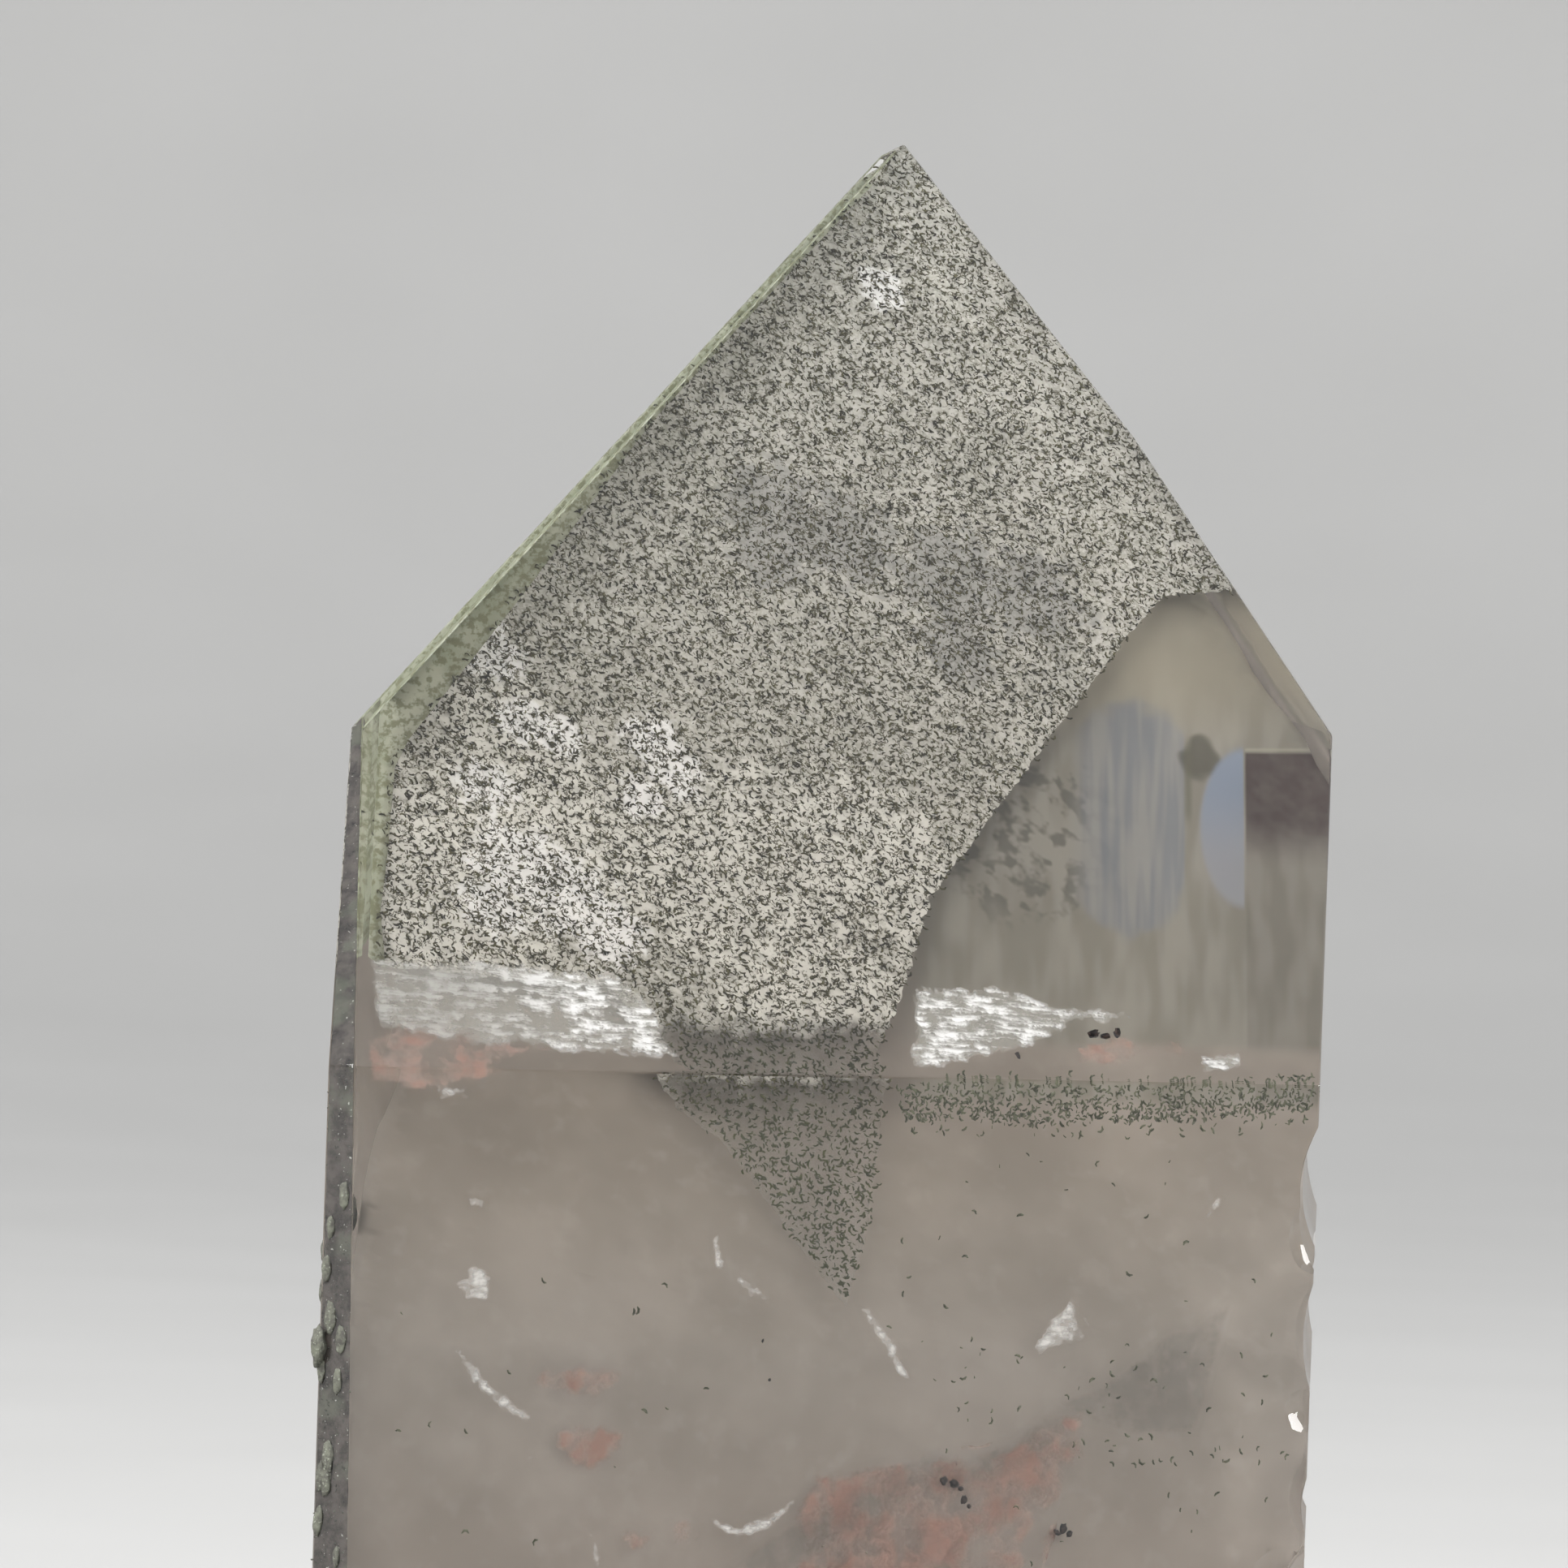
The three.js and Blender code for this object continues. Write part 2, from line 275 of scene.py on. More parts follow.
def cut_block(planes):
    """What is left of a big block when everything in front of each plane is cut away."""
    block = bmesh.new()
    bmesh.ops.create_cube(block, size=BLOCK)
    for azimuth, slope, point in planes:
        cut = slice_off(block, point, outward(azimuth, slope), 1e-4)
        rim = [part for part in cut["geom_cut"] if isinstance(part, bmesh.types.BMEdge)]
        bmesh.ops.contextual_create(block, geom=rim)
    bmesh.ops.remove_doubles(block, verts=block.verts, dist=0.01)
    bmesh.ops.dissolve_degenerate(block, edges=block.edges, dist=0.01)
    bmesh.ops.recalc_face_normals(block, faces=block.faces)
    return block


block = cut_block(FACES.values())
bmesh.ops.bevel(
    block, geom=block.edges[:], affect="EDGES", offset=ROUNDING, segments=2, profile=0.5, material=-1
)
crystal = new_piece("quartz_crystal", block)
print("crystal cut:", len(crystal.data.polygons), "faces")

# %% [markdown]
# ## Growth ledges and the broken side
# The back faces grew in steps, so each is set back a little from some height up. The right side is
# broken, and quartz breaks in shell-shaped hollows like thick glass. Each hollow could be sculpted,
# but a stretched ball cut out of the crystal leaves just that shape, with the sharp ridges where two
# hollows meet. The balls are rippled a little, as such breaks are.

# %% Ledge and break cutters
LEDGES = [("back", 9.5, 0.35), ("back", 52, 0.65), ("back right", 11.5, 0.4), ("back right", 45.6, 0.75)]
SHELLS = [  # back from the axis, height, half width, half height, bite, tilt
    (2.6, 30.9, 7.4, 3.1, 0.75, 6),
    (10.6, 31.6, 4.6, 3.5, 0.85, -14),
    (-3.6, 29.9, 2.7, 2.9, 0.8, 20),
    (6.8, 25.6, 7.2, 2.5, 0.55, -7),
    (-2.4, 25.2, 4.2, 2.2, 0.45, 13),
    (11.3, 22.3, 2.6, 3.6, 0.5, 38),
    (0.2, 19.2, 5.8, 2.1, 0.8, 8),
    (8.6, 18.4, 5.2, 3.3, 0.95, -17),
    (1.4, 11.6, 6.6, 5.2, 1.4, 12),
    (9.8, 12.8, 5.4, 4.2, 1.5, -20),
    (-3.9, 13.6, 2.8, 3.9, 1.3, -10),
    (-2.2, 3.2, 4.4, 4.4, 1.2, 15),
    (5.9, 4.4, 6.2, 3.7, 1.4, -8),
    (12.2, 4.9, 3.4, 5.6, 1.3, 11),
]
BREAKS = [  # middle, half sizes and turns of the bites at edges, round the base and on the ridge
    ((18.4, -6.4, 28.4), (1.9, 2.4, 2.3), (10, 0, 20)),
    ((18.4, -6.8, 22.2), (1.8, 2.5, 1.9), (-8, 0, 30)),
    ((17.7, -7.2, 15.6), (2.6, 2.8, 2.4), (15, 0, 10)),
    ((-2, 23.7, 2.4), (9, 4.4, 5.2), (14, 0, 12)),
    ((-18.9, 11, 1.6), (3.4, 7.6, 4.2), (0, 14, 0)),
    ((-17.4, -23.4, 0.6), (3.6, 3.4, 3.8), (10, 10, 0)),
    ((4.5, -13.9, -0.4), (6.5, 2.6, 2.8), (12, 0, 27)),
    ((-4.45, 9.35, 63.1), (0.55, 0.6, 0.55), (0, 0, 0)),
    ((-18.5, -9.9, 45.4), (0.6, 0.9, 0.7), (0, 20, 0)),
]


def turned(turn):
    x, y, z = (math.radians(angle) for angle in turn)
    return Matrix.Rotation(x, 4, "X") @ Matrix.Rotation(y, 4, "Y") @ Matrix.Rotation(z, 4, "Z")


def uneven_ball(fineness, middle, half, turn, waves):
    """A ball pushed in and out by noise, then stretched, turned and put in place."""
    ball = bmesh.new()
    bmesh.ops.create_icosphere(ball, subdivisions=fineness, radius=1)
    for vert in ball.verts:
        vert.co *= 1 + sum(high * noise.noise(vert.co * often + Vector(at)) for often, high, at in waves)
    place = Matrix.Translation(middle) @ turn @ Matrix.Diagonal((*half, 1))
    bmesh.ops.transform(ball, matrix=place, verts=ball.verts)
    return new_piece("ball", ball)


def hollow(middle, half, turn):
    waves = [(2.1, 0.022, middle), (7, 0.022 * 0.35, middle)]
    return uneven_ball(5, middle, half, turned(turn), waves)


def shell(back, height, half_width, half_height, bite, tilt, spread=3.6):
    azimuth, reach, _ = REACH["right"]
    facing = outward(azimuth, 90)
    face = (reach - facing.y * back) / facing.x
    grow = 1 / math.sqrt(1 - (1 - 1 / spread) ** 2)
    middle = (face + bite * (spread - 1), back, height)
    return hollow(middle, (bite * spread, half_width * grow, half_height * grow), (tilt, 0, azimuth - 90))


def ledge(face, height, set_back):
    azimuth, reach, _ = REACH[face]
    wide, thick, tall = 60, 2, 80
    layer = bmesh.new()
    bmesh.ops.create_cube(layer, size=1)
    lift = Matrix.Translation((0, set_back - reach - thick / 2, height + tall / 2))
    place = turned((0, 0, azimuth)) @ lift @ Matrix.Diagonal((wide, thick, tall, 1))
    bmesh.ops.transform(layer, matrix=place, verts=layer.verts)
    return new_piece("ledge", layer)


cutters = [ledge(*row) for row in LEDGES] + [shell(*row) for row in SHELLS]
cutters += [hollow(*row) for row in BREAKS]
print(len(cutters), "cutters")


# %% Cut them out
def baked(piece):
    """The piece's mesh with its modifiers worked in."""
    mesh = bpy.data.meshes.new_from_object(piece.evaluated_get(bpy.context.evaluated_depsgraph_get()))
    piece.modifiers.clear()
    piece.data = mesh
    return mesh


def carved(piece, cutters):
    """Takes the cutters out of the piece, and clears them away."""
    for cutter in cutters:
        carve = piece.modifiers.new("carve", "BOOLEAN")
        carve.operation, carve.solver, carve.object = "DIFFERENCE", "MANIFOLD", cutter
    baked(piece)
    for cutter in cutters:
        bpy.data.objects.remove(cutter)


def thickened(piece, thick):
    """Gives a sheet of faces this thickness in millimetres."""
    thin = piece.modifiers.new("thin", "SOLIDIFY")
    thin.thickness, thin.offset = thick * MM, 0
    baked(piece)


carved(crystal, cutters)
crystal.data.shade_smooth()
crystal.data.set_sharp_from_angle(angle=math.radians(9))  # below the rounding's own steps
print("crystal:", len(crystal.data.vertices), "vertices")

# %% [markdown]
# ## Clear quartz
# Quartz is colourless glass with an index of 1.544. Its faces have faint level growth lines, and
# the breaks are rippled. The rear is a little frosted. This crystal is slightly smoky and milky,
# which absorption gives: the further the light travels inside, the warmer and darker it comes out.

# %% Quartz finish
quartz = Finish("quartz", Base_Color=(1, 1, 1), IOR=INDEX, Transmission_Weight=1.0)
place = quartz.place()
lines = quartz.noise(quartz.place((40, 40, 2400)), 1.0, detail=1)
behind = quartz.along(place, outward(TURN + 180, 90))
frost = behind.step(16.2, 17.8)
quartz.set(Roughness=frost * 0.24 + 0.014, Normal=quartz.bump(lines, 0.00001, 0.35))
absorb = quartz.node("VolumeAbsorption", None, {"Color": (0.74, 0.70, 0.65), "Density": 95.0})
quartz.tree.links.new(absorb.socket, quartz.output.inputs["Volume"])
dress(crystal, quartz)
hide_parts("quartz_body", "quartz_cap")
print("quartz finish on", crystal.name)

# %% [markdown]
# ## Seeing into the crystal
# A pixel of the photo shows something behind a refracting face, so it isn't where a straight line
# would put it. `seen_on` follows the line of sight from the eye through the pixel, bends it where it
# enters the crystal, and gives the place where it meets a given plane inside.


# %% Line of sight
def sight(u, v):
    """The direction from the eye through a pixel of the photo."""
    across, down = (u - PHOTO / 2) / FOCAL, (v - PHOTO / 2) / FOCAL
    c, s = math.cos(LEAN), math.sin(LEAN)
    return Vector((c * across + s * down, 1, s * across - c * down)).normalized()


def enter(u, v):
    """Where the line of sight enters the crystal, and its direction inside."""
    line, nearest, normal = sight(u, v), -1e9, None
    for azimuth, slope, point in FACES.values():
        facing = outward(azimuth, slope)
        closing = facing.dot(line)
        if closing < 0:
            distance = facing.dot(Vector(point) - EYE) / closing
            if distance > nearest:
                nearest, normal = distance, facing
    slower, cosine = 1 / INDEX, -normal.dot(line)
    bent = slower * line + (slower * cosine - math.sqrt(1 - slower**2 * (1 - cosine**2))) * normal
    return EYE + line * nearest, bent.normalized()


def seen_on(u, v, point, facing):
    """Where the pixel's line of sight meets a plane inside the crystal, in millimetres."""
    start, line = enter(u, v)
    return start + line * (facing.dot(point - start) / facing.dot(line))


print("middle of the picture enters at", [round(x, 1) for x in enter(PHOTO / 2, PHOTO / 2)[0]])

# %% [markdown]
# ## The sheet of chlorite: its ground
# The chlorite lies on one plane that nearly follows the big front face. Between the grains the
# quartz is dulled by the finest dust, which reads as a light grey ground. It is a plate as thin as
# paper, cut to the sheet's outline, with an edge that frays.

# %% Sheet frame and outline
FOOT = BROAD_OUT * BROAD + Vector((0, 0, 24.2))  # where the plane comes out on the broad face
RUN = BROAD + 1.9 - BROAD_OUT.dot(Vector(APEX))  # and how far back of it the point is, level
SHEET_SLOPE = math.degrees(math.atan2(APEX[2] - FOOT.z, RUN))
SHEET_OUT = outward(TURN, SHEET_SLOPE)
ACROSS = Vector((math.cos(math.radians(TURN)), math.sin(math.radians(TURN)), 0))
UP = SHEET_OUT.cross(ACROSS)
SHEET_DEPTH = 0.4  # the middle of the chlorite lies this far under the plane
LEFT_EDGE = [  # across and up the slope, in millimetres
    (8.1, 51.6), (1.5, 45.3), (-4.5, 39.5), (-11.9, 31.2), (-15.5, 27.3), (-18.2, 24.4), (-19.1, 23.1),
    (-20.2, 19.6), (-21.2, 16.7), (-21.6, 14.2),
]  # fmt: skip
OUTLINE = [
    (-5.2, 2.1), (-3.8, 5.6), (-2.4, 11.1), (-0.6, 13.9), (1.6, 17.9), (8.6, 25.3), (15.4, 32.2),
    (18.6, 32.6), (18.3, 34.9), (17, 40.2), (11.8, 52.2), (11.1, 54), (10.2, 54), *LEFT_EDGE,
    (-17.5, 13.9), (-12.7, 13.6), (-11.5, 11.8), (-10.8, 10.4), (-9.1, 8.9), (-6.8, 4.9),
]  # fmt: skip


def on_sheet(across, up, depth=SHEET_DEPTH):
    return FOOT + ACROSS * across + UP * up - SHEET_OUT * depth


def frayed(mesh, size, amount, seed):
    """Moves each corner a little within the sheet's plane."""
    for vert in mesh.verts:
        shift = noise.noise_vector(vert.co / size + Vector((seed, 0, 0)))
        vert.co += (ACROSS * shift.x + UP * shift.y) * amount


def trimmed(mesh, names, margin):
    """Cuts away what isn't inside these faces of the crystal by the margin."""
    for name in names:
        azimuth, slope, point = FACES[name]
        facing = outward(azimuth, slope)
        slice_off(mesh, Vector(point) - facing * margin, facing)


def cut_sheet(depth, margin=0.05):
    sheet = bmesh.new()
    sheet.faces.new([sheet.verts.new(on_sheet(*corner, depth)) for corner in OUTLINE])
    bmesh.ops.subdivide_edges(sheet, edges=sheet.edges[:], cuts=40)
    frayed(sheet, 0.35, 0.16, 5)
    trimmed(sheet, ("left point", "tip chip", "right upper", "right lower", "right", "left"), margin)
    return sheet


GROUND_DEPTH, GROUND_THICK = SHEET_DEPTH + 0.15, 0.04  # just behind the grains
layer = cut_sheet(GROUND_DEPTH)
raised = bmesh.ops.extrude_face_region(layer, geom=layer.faces[:])
top = [part for part in raised["geom"] if isinstance(part, bmesh.types.BMVert)]
bmesh.ops.translate(layer, vec=SHEET_OUT * GROUND_THICK, verts=top)
bmesh.ops.recalc_face_normals(layer, faces=layer.faces)
bmesh.ops.triangulate(layer, faces=layer.faces)
dust = new_piece("chlorite_dust", layer)
print("sheet slope", round(SHEET_SLOPE, 2), "degrees;", len(dust.data.polygons), "faces")

# %% [markdown]
# Here and there the ground is painted white with highlights and glints between the threads, and in
# two places with darker grey painted reflections. They are placed by their pixels in the photo.

# %% Ground finish
def patches(finish, place, spots, tear):
    """1 inside round spots given by pixel and radius in millimetres, 0 outside, torn by noise."""
    nearest = 9.0  # well outside
    for u, v, radius in spots:
        middle = seen_on(u, v, on_sheet(0, 0, GROUND_DEPTH), SHEET_OUT)
        away = finish.node("VectorMath", {"operation": "DISTANCE"}, {0: place, 1: tuple(middle)}, out=1)
        nearest = (away / radius).math("MINIMUM", away / radius, nearest)
    return 1 - (nearest + (tear - 0.5) * 1.8).step(0.65, 1.1)


# painted light, by pixel and radius in millimetres: white glints, broader highlights, grey reflections
PAINTED_GLINTS = [
    (605, 800, 1.5), (640, 890, 1.1), (690, 905, 1.1), (805, 915, 1.3), (835, 955, 1.2), (790, 985, 1.0),
    (600, 970, 1.3), (635, 1065, 1.9), (690, 1100, 2.2), (610, 1120, 1.5), (750, 1150, 1.6),
    (1085, 355, 1.0),
]  # fmt: skip
PAINTED_HIGHLIGHTS = [(560, 1090, 5), (620, 900, 3), (900, 1080, 5), (1000, 1230, 4), (700, 1040, 5), (1060, 1060, 4)]
PAINTED_GREY_REFLECTIONS = [
    (960, 640, 2.6), (1040, 665, 2.4), (1180, 715, 2.6), (1270, 735, 2.4), (1180, 800, 1.8),
    (950, 690, 1.6),
]  # fmt: skip

ground = Finish("chlorite_ground", Roughness=0.8, **Finish.SEALED)
place = ground.place()
cloud = ground.noise(place, 2.5, detail=3, roughness=0.65)
tear = ground.noise(place, 0.8, detail=2, roughness=0.7)
grit = ground.noise(place, 0.13, detail=2)
threads = ground.noise(place, 0.34, detail=3, roughness=0.6) - 0.5
broken = ground.noise(place, 0.4, detail=1).step(0.36, 0.5)
strokes = (1 - threads.math("ABSOLUTE", threads).step(0.014, 0.045)) * broken
tone = ground.blend(cloud.step(0.35, 0.65), (0.44, 0.435, 0.375), (0.60, 0.59, 0.53))
tone = ground.blend(grit.step(0.35, 0.7), tone, (0.68, 0.67, 0.63))
# painted highlights, painted grey reflections and painted glints laid over the ground's own tone
tone = ground.blend(patches(ground, place, PAINTED_HIGHLIGHTS, tear) * 0.75, tone, (0.88, 0.87, 0.81))
tone = ground.blend(patches(ground, place, PAINTED_GREY_REFLECTIONS, tear) * 0.5, tone, (0.27, 0.27, 0.27))
tone = ground.blend(patches(ground, place, PAINTED_GLINTS, tear), tone, (0.98, 0.98, 0.97))
tone = ground.blend(strokes * 0.92, tone, (0.075, 0.066, 0.026))
climb = ground.along(place, UP) - FOOT.dot(UP)
aside = 1 - (ground.along(place, ACROSS) - FOOT.dot(ACROSS)).step(-13, -10.5)
cover = (climb + cloud * 3.0).step(12.7, 14.1).larger(aside) * 0.93 + 0.07
ground.set(Base_Color=tone, Alpha=cover)
dress(dust, ground)
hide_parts("chlorite_phantom")
print("ground finish ready")

# %% [markdown]
# ## The grains
# Close up, each speck is a tiny bent worm of chlorite about a fifth of a millimetre long. There are
# thousands, none on top of another. Geometry Nodes can strew points over the sheet with a least
# distance between them, put one of a few worms on each, and make them real meshes.


# %% Worm shapes
def worm(name, bend, length, width, seed):
    """A bent, flattened, tapering grain: a small square face spun along an arc."""
    grain = bmesh.new()
    radius = length / math.radians(bend)
    bmesh.ops.create_circle(grain, segments=4, radius=width / 2, cap_ends=True)
    stand = Matrix.Translation((radius, 0, 0)) @ Matrix.Rotation(math.radians(90), 4, "X")
    bmesh.ops.transform(grain, matrix=stand, verts=grain.verts)
    start = grain.faces[:] + grain.edges[:] + grain.verts[:]
    bmesh.ops.spin(grain, geom=start, axis=(0, 0, 1), angle=math.radians(bend), steps=3)
    bmesh.ops.translate(grain, vec=(-radius, 0, 0), verts=grain.verts)
    roll = Random(seed)
    ends = [face for face in grain.faces if len(face.edges) == 4 and face.calc_area() < width**2 * 0.6]
    for face in ends:
        middle = face.calc_center_median()
        taper = 0.4 + 0.35 * roll.random()
        bmesh.ops.scale(grain, vec=(taper,) * 3, space=Matrix.Translation(-middle), verts=face.verts)
    bmesh.ops.scale(grain, vec=(1, 1, 0.55), verts=grain.verts)
    bmesh.ops.recalc_face_normals(grain, faces=grain.faces)
    return new_piece(name, grain)


def worm_set(name, rows):
    shelf = bpy.data.collections.new(name)
    bpy.context.scene.collection.children.link(shelf)
    for i, (bend, length, width) in enumerate(rows):
        grain = worm(f"{name}_{i}", bend, length, width, i)
        bpy.context.collection.objects.unlink(grain)
        shelf.objects.link(grain)
    return shelf


WORMS = [  # bend in degrees, length and width in millimetres
    (70, 0.24, 0.09), (120, 0.3, 0.085), (50, 0.2, 0.1), (160, 0.34, 0.08), (95, 0.26, 0.1),
    (40, 0.15, 0.11),
]  # fmt: skip
worms = worm_set("worms", WORMS)


# %% Strewing with Geometry Nodes
def strew(name, ground, least_gap, density, depth, seed, patchy, shapes=worms, size=(0.75, 1.2)):
    """Points on the ground's faces, each with one of the shapes, made real and joined in one piece."""
    tree = bpy.data.node_groups.new(name, "GeometryNodeTree")
    for way in ("INPUT", "OUTPUT"):
        tree.interface.new_socket("Geometry", in_out=way, socket_type="NodeSocketGeometry")

    def node(kind, settings=None, sockets=None):
        made = tree.nodes.new(kind)
        for key, value in (settings or {}).items():
            setattr(made, key, value)
        for key, value in (sockets or {}).items():
            if isinstance(value, bpy.types.NodeSocket):
                tree.links.new(value, made.inputs[key])
            else:
                made.inputs[key].default_value = value
        return made

    def between(low, high, seed):
        values = {2: low, 3: high, "Seed": seed}
        return node("FunctionNodeRandomValue", {"data_type": "FLOAT"}, values).outputs[1]

    start = node("NodeGroupInput")
    cloud = node("ShaderNodeTexNoise", None, {"Scale": 400.0, "Detail": 3.0})
    share = node("ShaderNodeMapRange", None, {"Value": cloud.outputs[0], "From Min": 0.35, "From Max": 0.65,
                                              "To Min": 1 - patchy, "To Max": 1.0})  # fmt: skip
    spots = node("GeometryNodeDistributePointsOnFaces", {"distribute_method": "POISSON"},
                 {"Mesh": start.outputs[0], "Distance Min": least_gap * MM, "Density Max": density / MM**2,
                  "Density Factor": share.outputs[0], "Seed": seed})  # fmt: skip
    sink = node("ShaderNodeVectorMath", {"operation": "SCALE"},
                {0: spots.outputs["Normal"], "Scale": between(-depth * MM, 0.0, seed + 1)})  # fmt: skip
    settled = node("GeometryNodeSetPosition", None,
                   {"Geometry": spots.outputs["Points"], "Offset": sink.outputs[0]})  # fmt: skip
    spin = node("FunctionNodeRandomValue", {"data_type": "FLOAT_VECTOR"},
                {0: (-0.35, -0.35, 0.0), 1: (0.35, 0.35, 6.283), "Seed": seed + 2})  # fmt: skip
    turn = node("FunctionNodeEulerToRotation", None, {0: spin.outputs[0]})
    lie = node("FunctionNodeRotateRotation", {"rotation_space": "LOCAL"},
               {"Rotation": spots.outputs["Rotation"], "Rotate By": turn.outputs[0]})  # fmt: skip
    kinds = node("GeometryNodeCollectionInfo", None,
                 {"Collection": shapes, "Separate Children": True, "Reset Children": True})  # fmt: skip
    copies = node("GeometryNodeInstanceOnPoints", None,
                  {"Points": settled.outputs[0], "Instance": kinds.outputs[0], "Pick Instance": True,
                   "Rotation": lie.outputs[0], "Scale": between(*size, seed + 3)})  # fmt: skip
    real = node("GeometryNodeRealizeInstances", None, {"Geometry": copies.outputs[0]})
    end = node("NodeGroupOutput")
    tree.links.new(real.outputs[0], end.inputs[0])

    piece = new_piece(name, ground)
    piece.modifiers.new("strew", "NODES").node_group = tree
    made = baked(piece)
    triangles = sum(len(face.vertices) - 2 for face in made.polygons)
    print(name, "-", len(made.polygons), "faces,", triangles, "triangles")
    return piece


# %% Grain finish
grains = Finish("chlorite_grains", Roughness=0.6, **Finish.SEALED)
place = grains.place()
speckle = grains.noise(place, 0.25, detail=1)
drift = grains.noise(place, 5.0, detail=2)
colour = grains.node(
    "ValToRGB",
    {"stops": [(0.3, (0.014, 0.012, 0.004)), (0.5, (0.058, 0.052, 0.02)), (0.74, (0.15, 0.142, 0.064))]},
    {"Fac": speckle * 0.8 + drift * 0.2},
)
low = 1 - (grains.along(place, UP) - FOOT.dot(UP)).step(9, 13)
grains.set(Base_Color=grains.blend(low * 0.6, colour, (0.055, 0.075, 0.034)))


def dress_chlorite(piece, finish=grains):
    dress(piece, finish)
    piece.data.shade_smooth()


# %% [markdown]
# The sheet is strewn in a few pieces, so that none has too many faces.

# %% Strew the sheet
def sheet_part(low, high):
    """The sheet's outline between two heights up the slope, with a frayed edge."""
    part = cut_sheet(SHEET_DEPTH - 0.2, 0.12)
    for height, side in ((low, -1), (high, 1)):
        slice_off(part, on_sheet(0, height, 0), UP * side)
    bmesh.ops.triangulate(part, faces=part.faces)
    return part


HEIGHTS = [-1, 18, 24, 31, 39, 60]  # up the slope, where one piece ends and the next begins
for i, (low, high) in enumerate(zip(HEIGHTS, HEIGHTS[1:])):
    part = sheet_part(low, high)
    piece = strew(f"chlorite_grains_{i + 1}", part, 0.125, 90, 0.4, 10 + i, patchy=0.25)
    dress_chlorite(piece)
    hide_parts("chlorite_phantom")


# %% [markdown]
# The chlorite settled on the older crystal's left side too. That side is seen almost edge on through
# the big front face, so its grains crowd into the smooth pale green band along the left ridge. It is
# the sheet's left edge drawn straight back, and trimmed a little short of the rear faces. The point's
# left face is dusted too, just under the surface.

# %% The left wing
def moved_in(face, depth):
    """The face moved this far into the crystal."""
    azimuth, slope, point = face
    return azimuth, slope, Vector(point) - outward(azimuth, slope) * depth


def skin_ground(names, depth):
    """The crystal's own faces of these names, a little under the surface."""
    mesh = cut_block([moved_in(face, depth) for face in FACES.values()])
    facing = [outward(*FACES[name][:2]) for name in names]
    other = [face for face in mesh.faces if max(face.normal.dot(way) for way in facing) < 0.9999]
    bmesh.ops.delete(mesh, geom=other, context="FACES")
    return mesh


def edge_band():
    """The sheet's plane from its left edge out to the point's left faces."""
    band = bmesh.new()
    ends = (-0.15, 5)  # from just inside the sheet to well outside the crystal
    rows = [[band.verts.new(on_sheet(across - out, up + out)) for out in ends] for across, up in LEFT_EDGE]
    for (a, b), (c, d) in zip(rows, rows[1:]):
        band.faces.new((a, b, d, c))
    trimmed(band, ("left point", "left sliver", "left", "tip chip"), 0.12)
    return band


def wing_ground(margin):
    wing = bmesh.new()
    corners = [wing.verts.new(on_sheet(*corner)) for corner in LEFT_EDGE]
    edges = [wing.edges.new(pair) for pair in zip(corners, corners[1:])]
    drawn = bmesh.ops.extrude_edge_only(wing, edges=edges)
    rear = [part for part in drawn["geom"] if isinstance(part, bmesh.types.BMVert)]
    bmesh.ops.translate(wing, vec=(0, 40, 0), verts=rear)  # past the rear faces
    trimmed(wing, ("left point", "left", "tip chip"), margin)
    trimmed(wing, ("back", "rear", "rear right", "back right"), margin + 0.9)
    bmesh.ops.triangulate(wing, faces=wing.faces)
    return wing


coat = Finish("chlorite_coat", Roughness=0.75, **Finish.SEALED)
place = coat.place()
soft = coat.noise(place, 1.8, detail=4)
fine = coat.noise(coat.place((1000, 220, 1000)), 0.28, detail=3, roughness=0.6)
tone = coat.blend(soft.step(0.35, 0.65), (0.36, 0.385, 0.275), (0.50, 0.52, 0.41))
coat.set(Base_Color=coat.blend(fine.step(0.44, 0.6) * 0.75, tone, (0.17, 0.175, 0.085)))
COATS = {
    "chlorite_wing_dust": wing_ground(0.06),
    "chlorite_edge_dust": edge_band(),
    "chlorite_point_dust": skin_ground(("left point",), 0.35),
}
for name, mesh in COATS.items():
    piece = new_piece(name, mesh)
    dress_chlorite(piece, coat)
    thickened(piece, 0.04)
dress_chlorite(strew("chlorite_wing_grains", wing_ground(0.3), 0.2, 26, 0.1, 31, patchy=0.5))

# %% [markdown]
# ## Flakes below the sheet
# Right of the sheet's tip a strip of loose flakes lies just under the level edge, thick at the top and
# thinning out below. A few sparse clusters of flakes float lower down. Each is strewn like the sheet,
# on an upright patch just behind the broad face.

# %% Strip and clusters
def behind_broad(depth):
    """The upright plane this far behind the broad face."""
    return BROAD_OUT * (BROAD - depth), BROAD_OUT


def patch(depth, pixels):
    """A patch of ground behind the broad face, whose corners show at these pixels of the photo."""
    mesh = bmesh.new()
    plane = behind_broad(depth)
    face = mesh.faces.new([mesh.verts.new(seen_on(u, v, *plane)) for u, v in pixels])
    if face.normal.dot(BROAD_OUT) < 0:
        bmesh.ops.reverse_faces(mesh, faces=[face])
    bmesh.ops.triangulate(mesh, faces=mesh.faces)
    return mesh


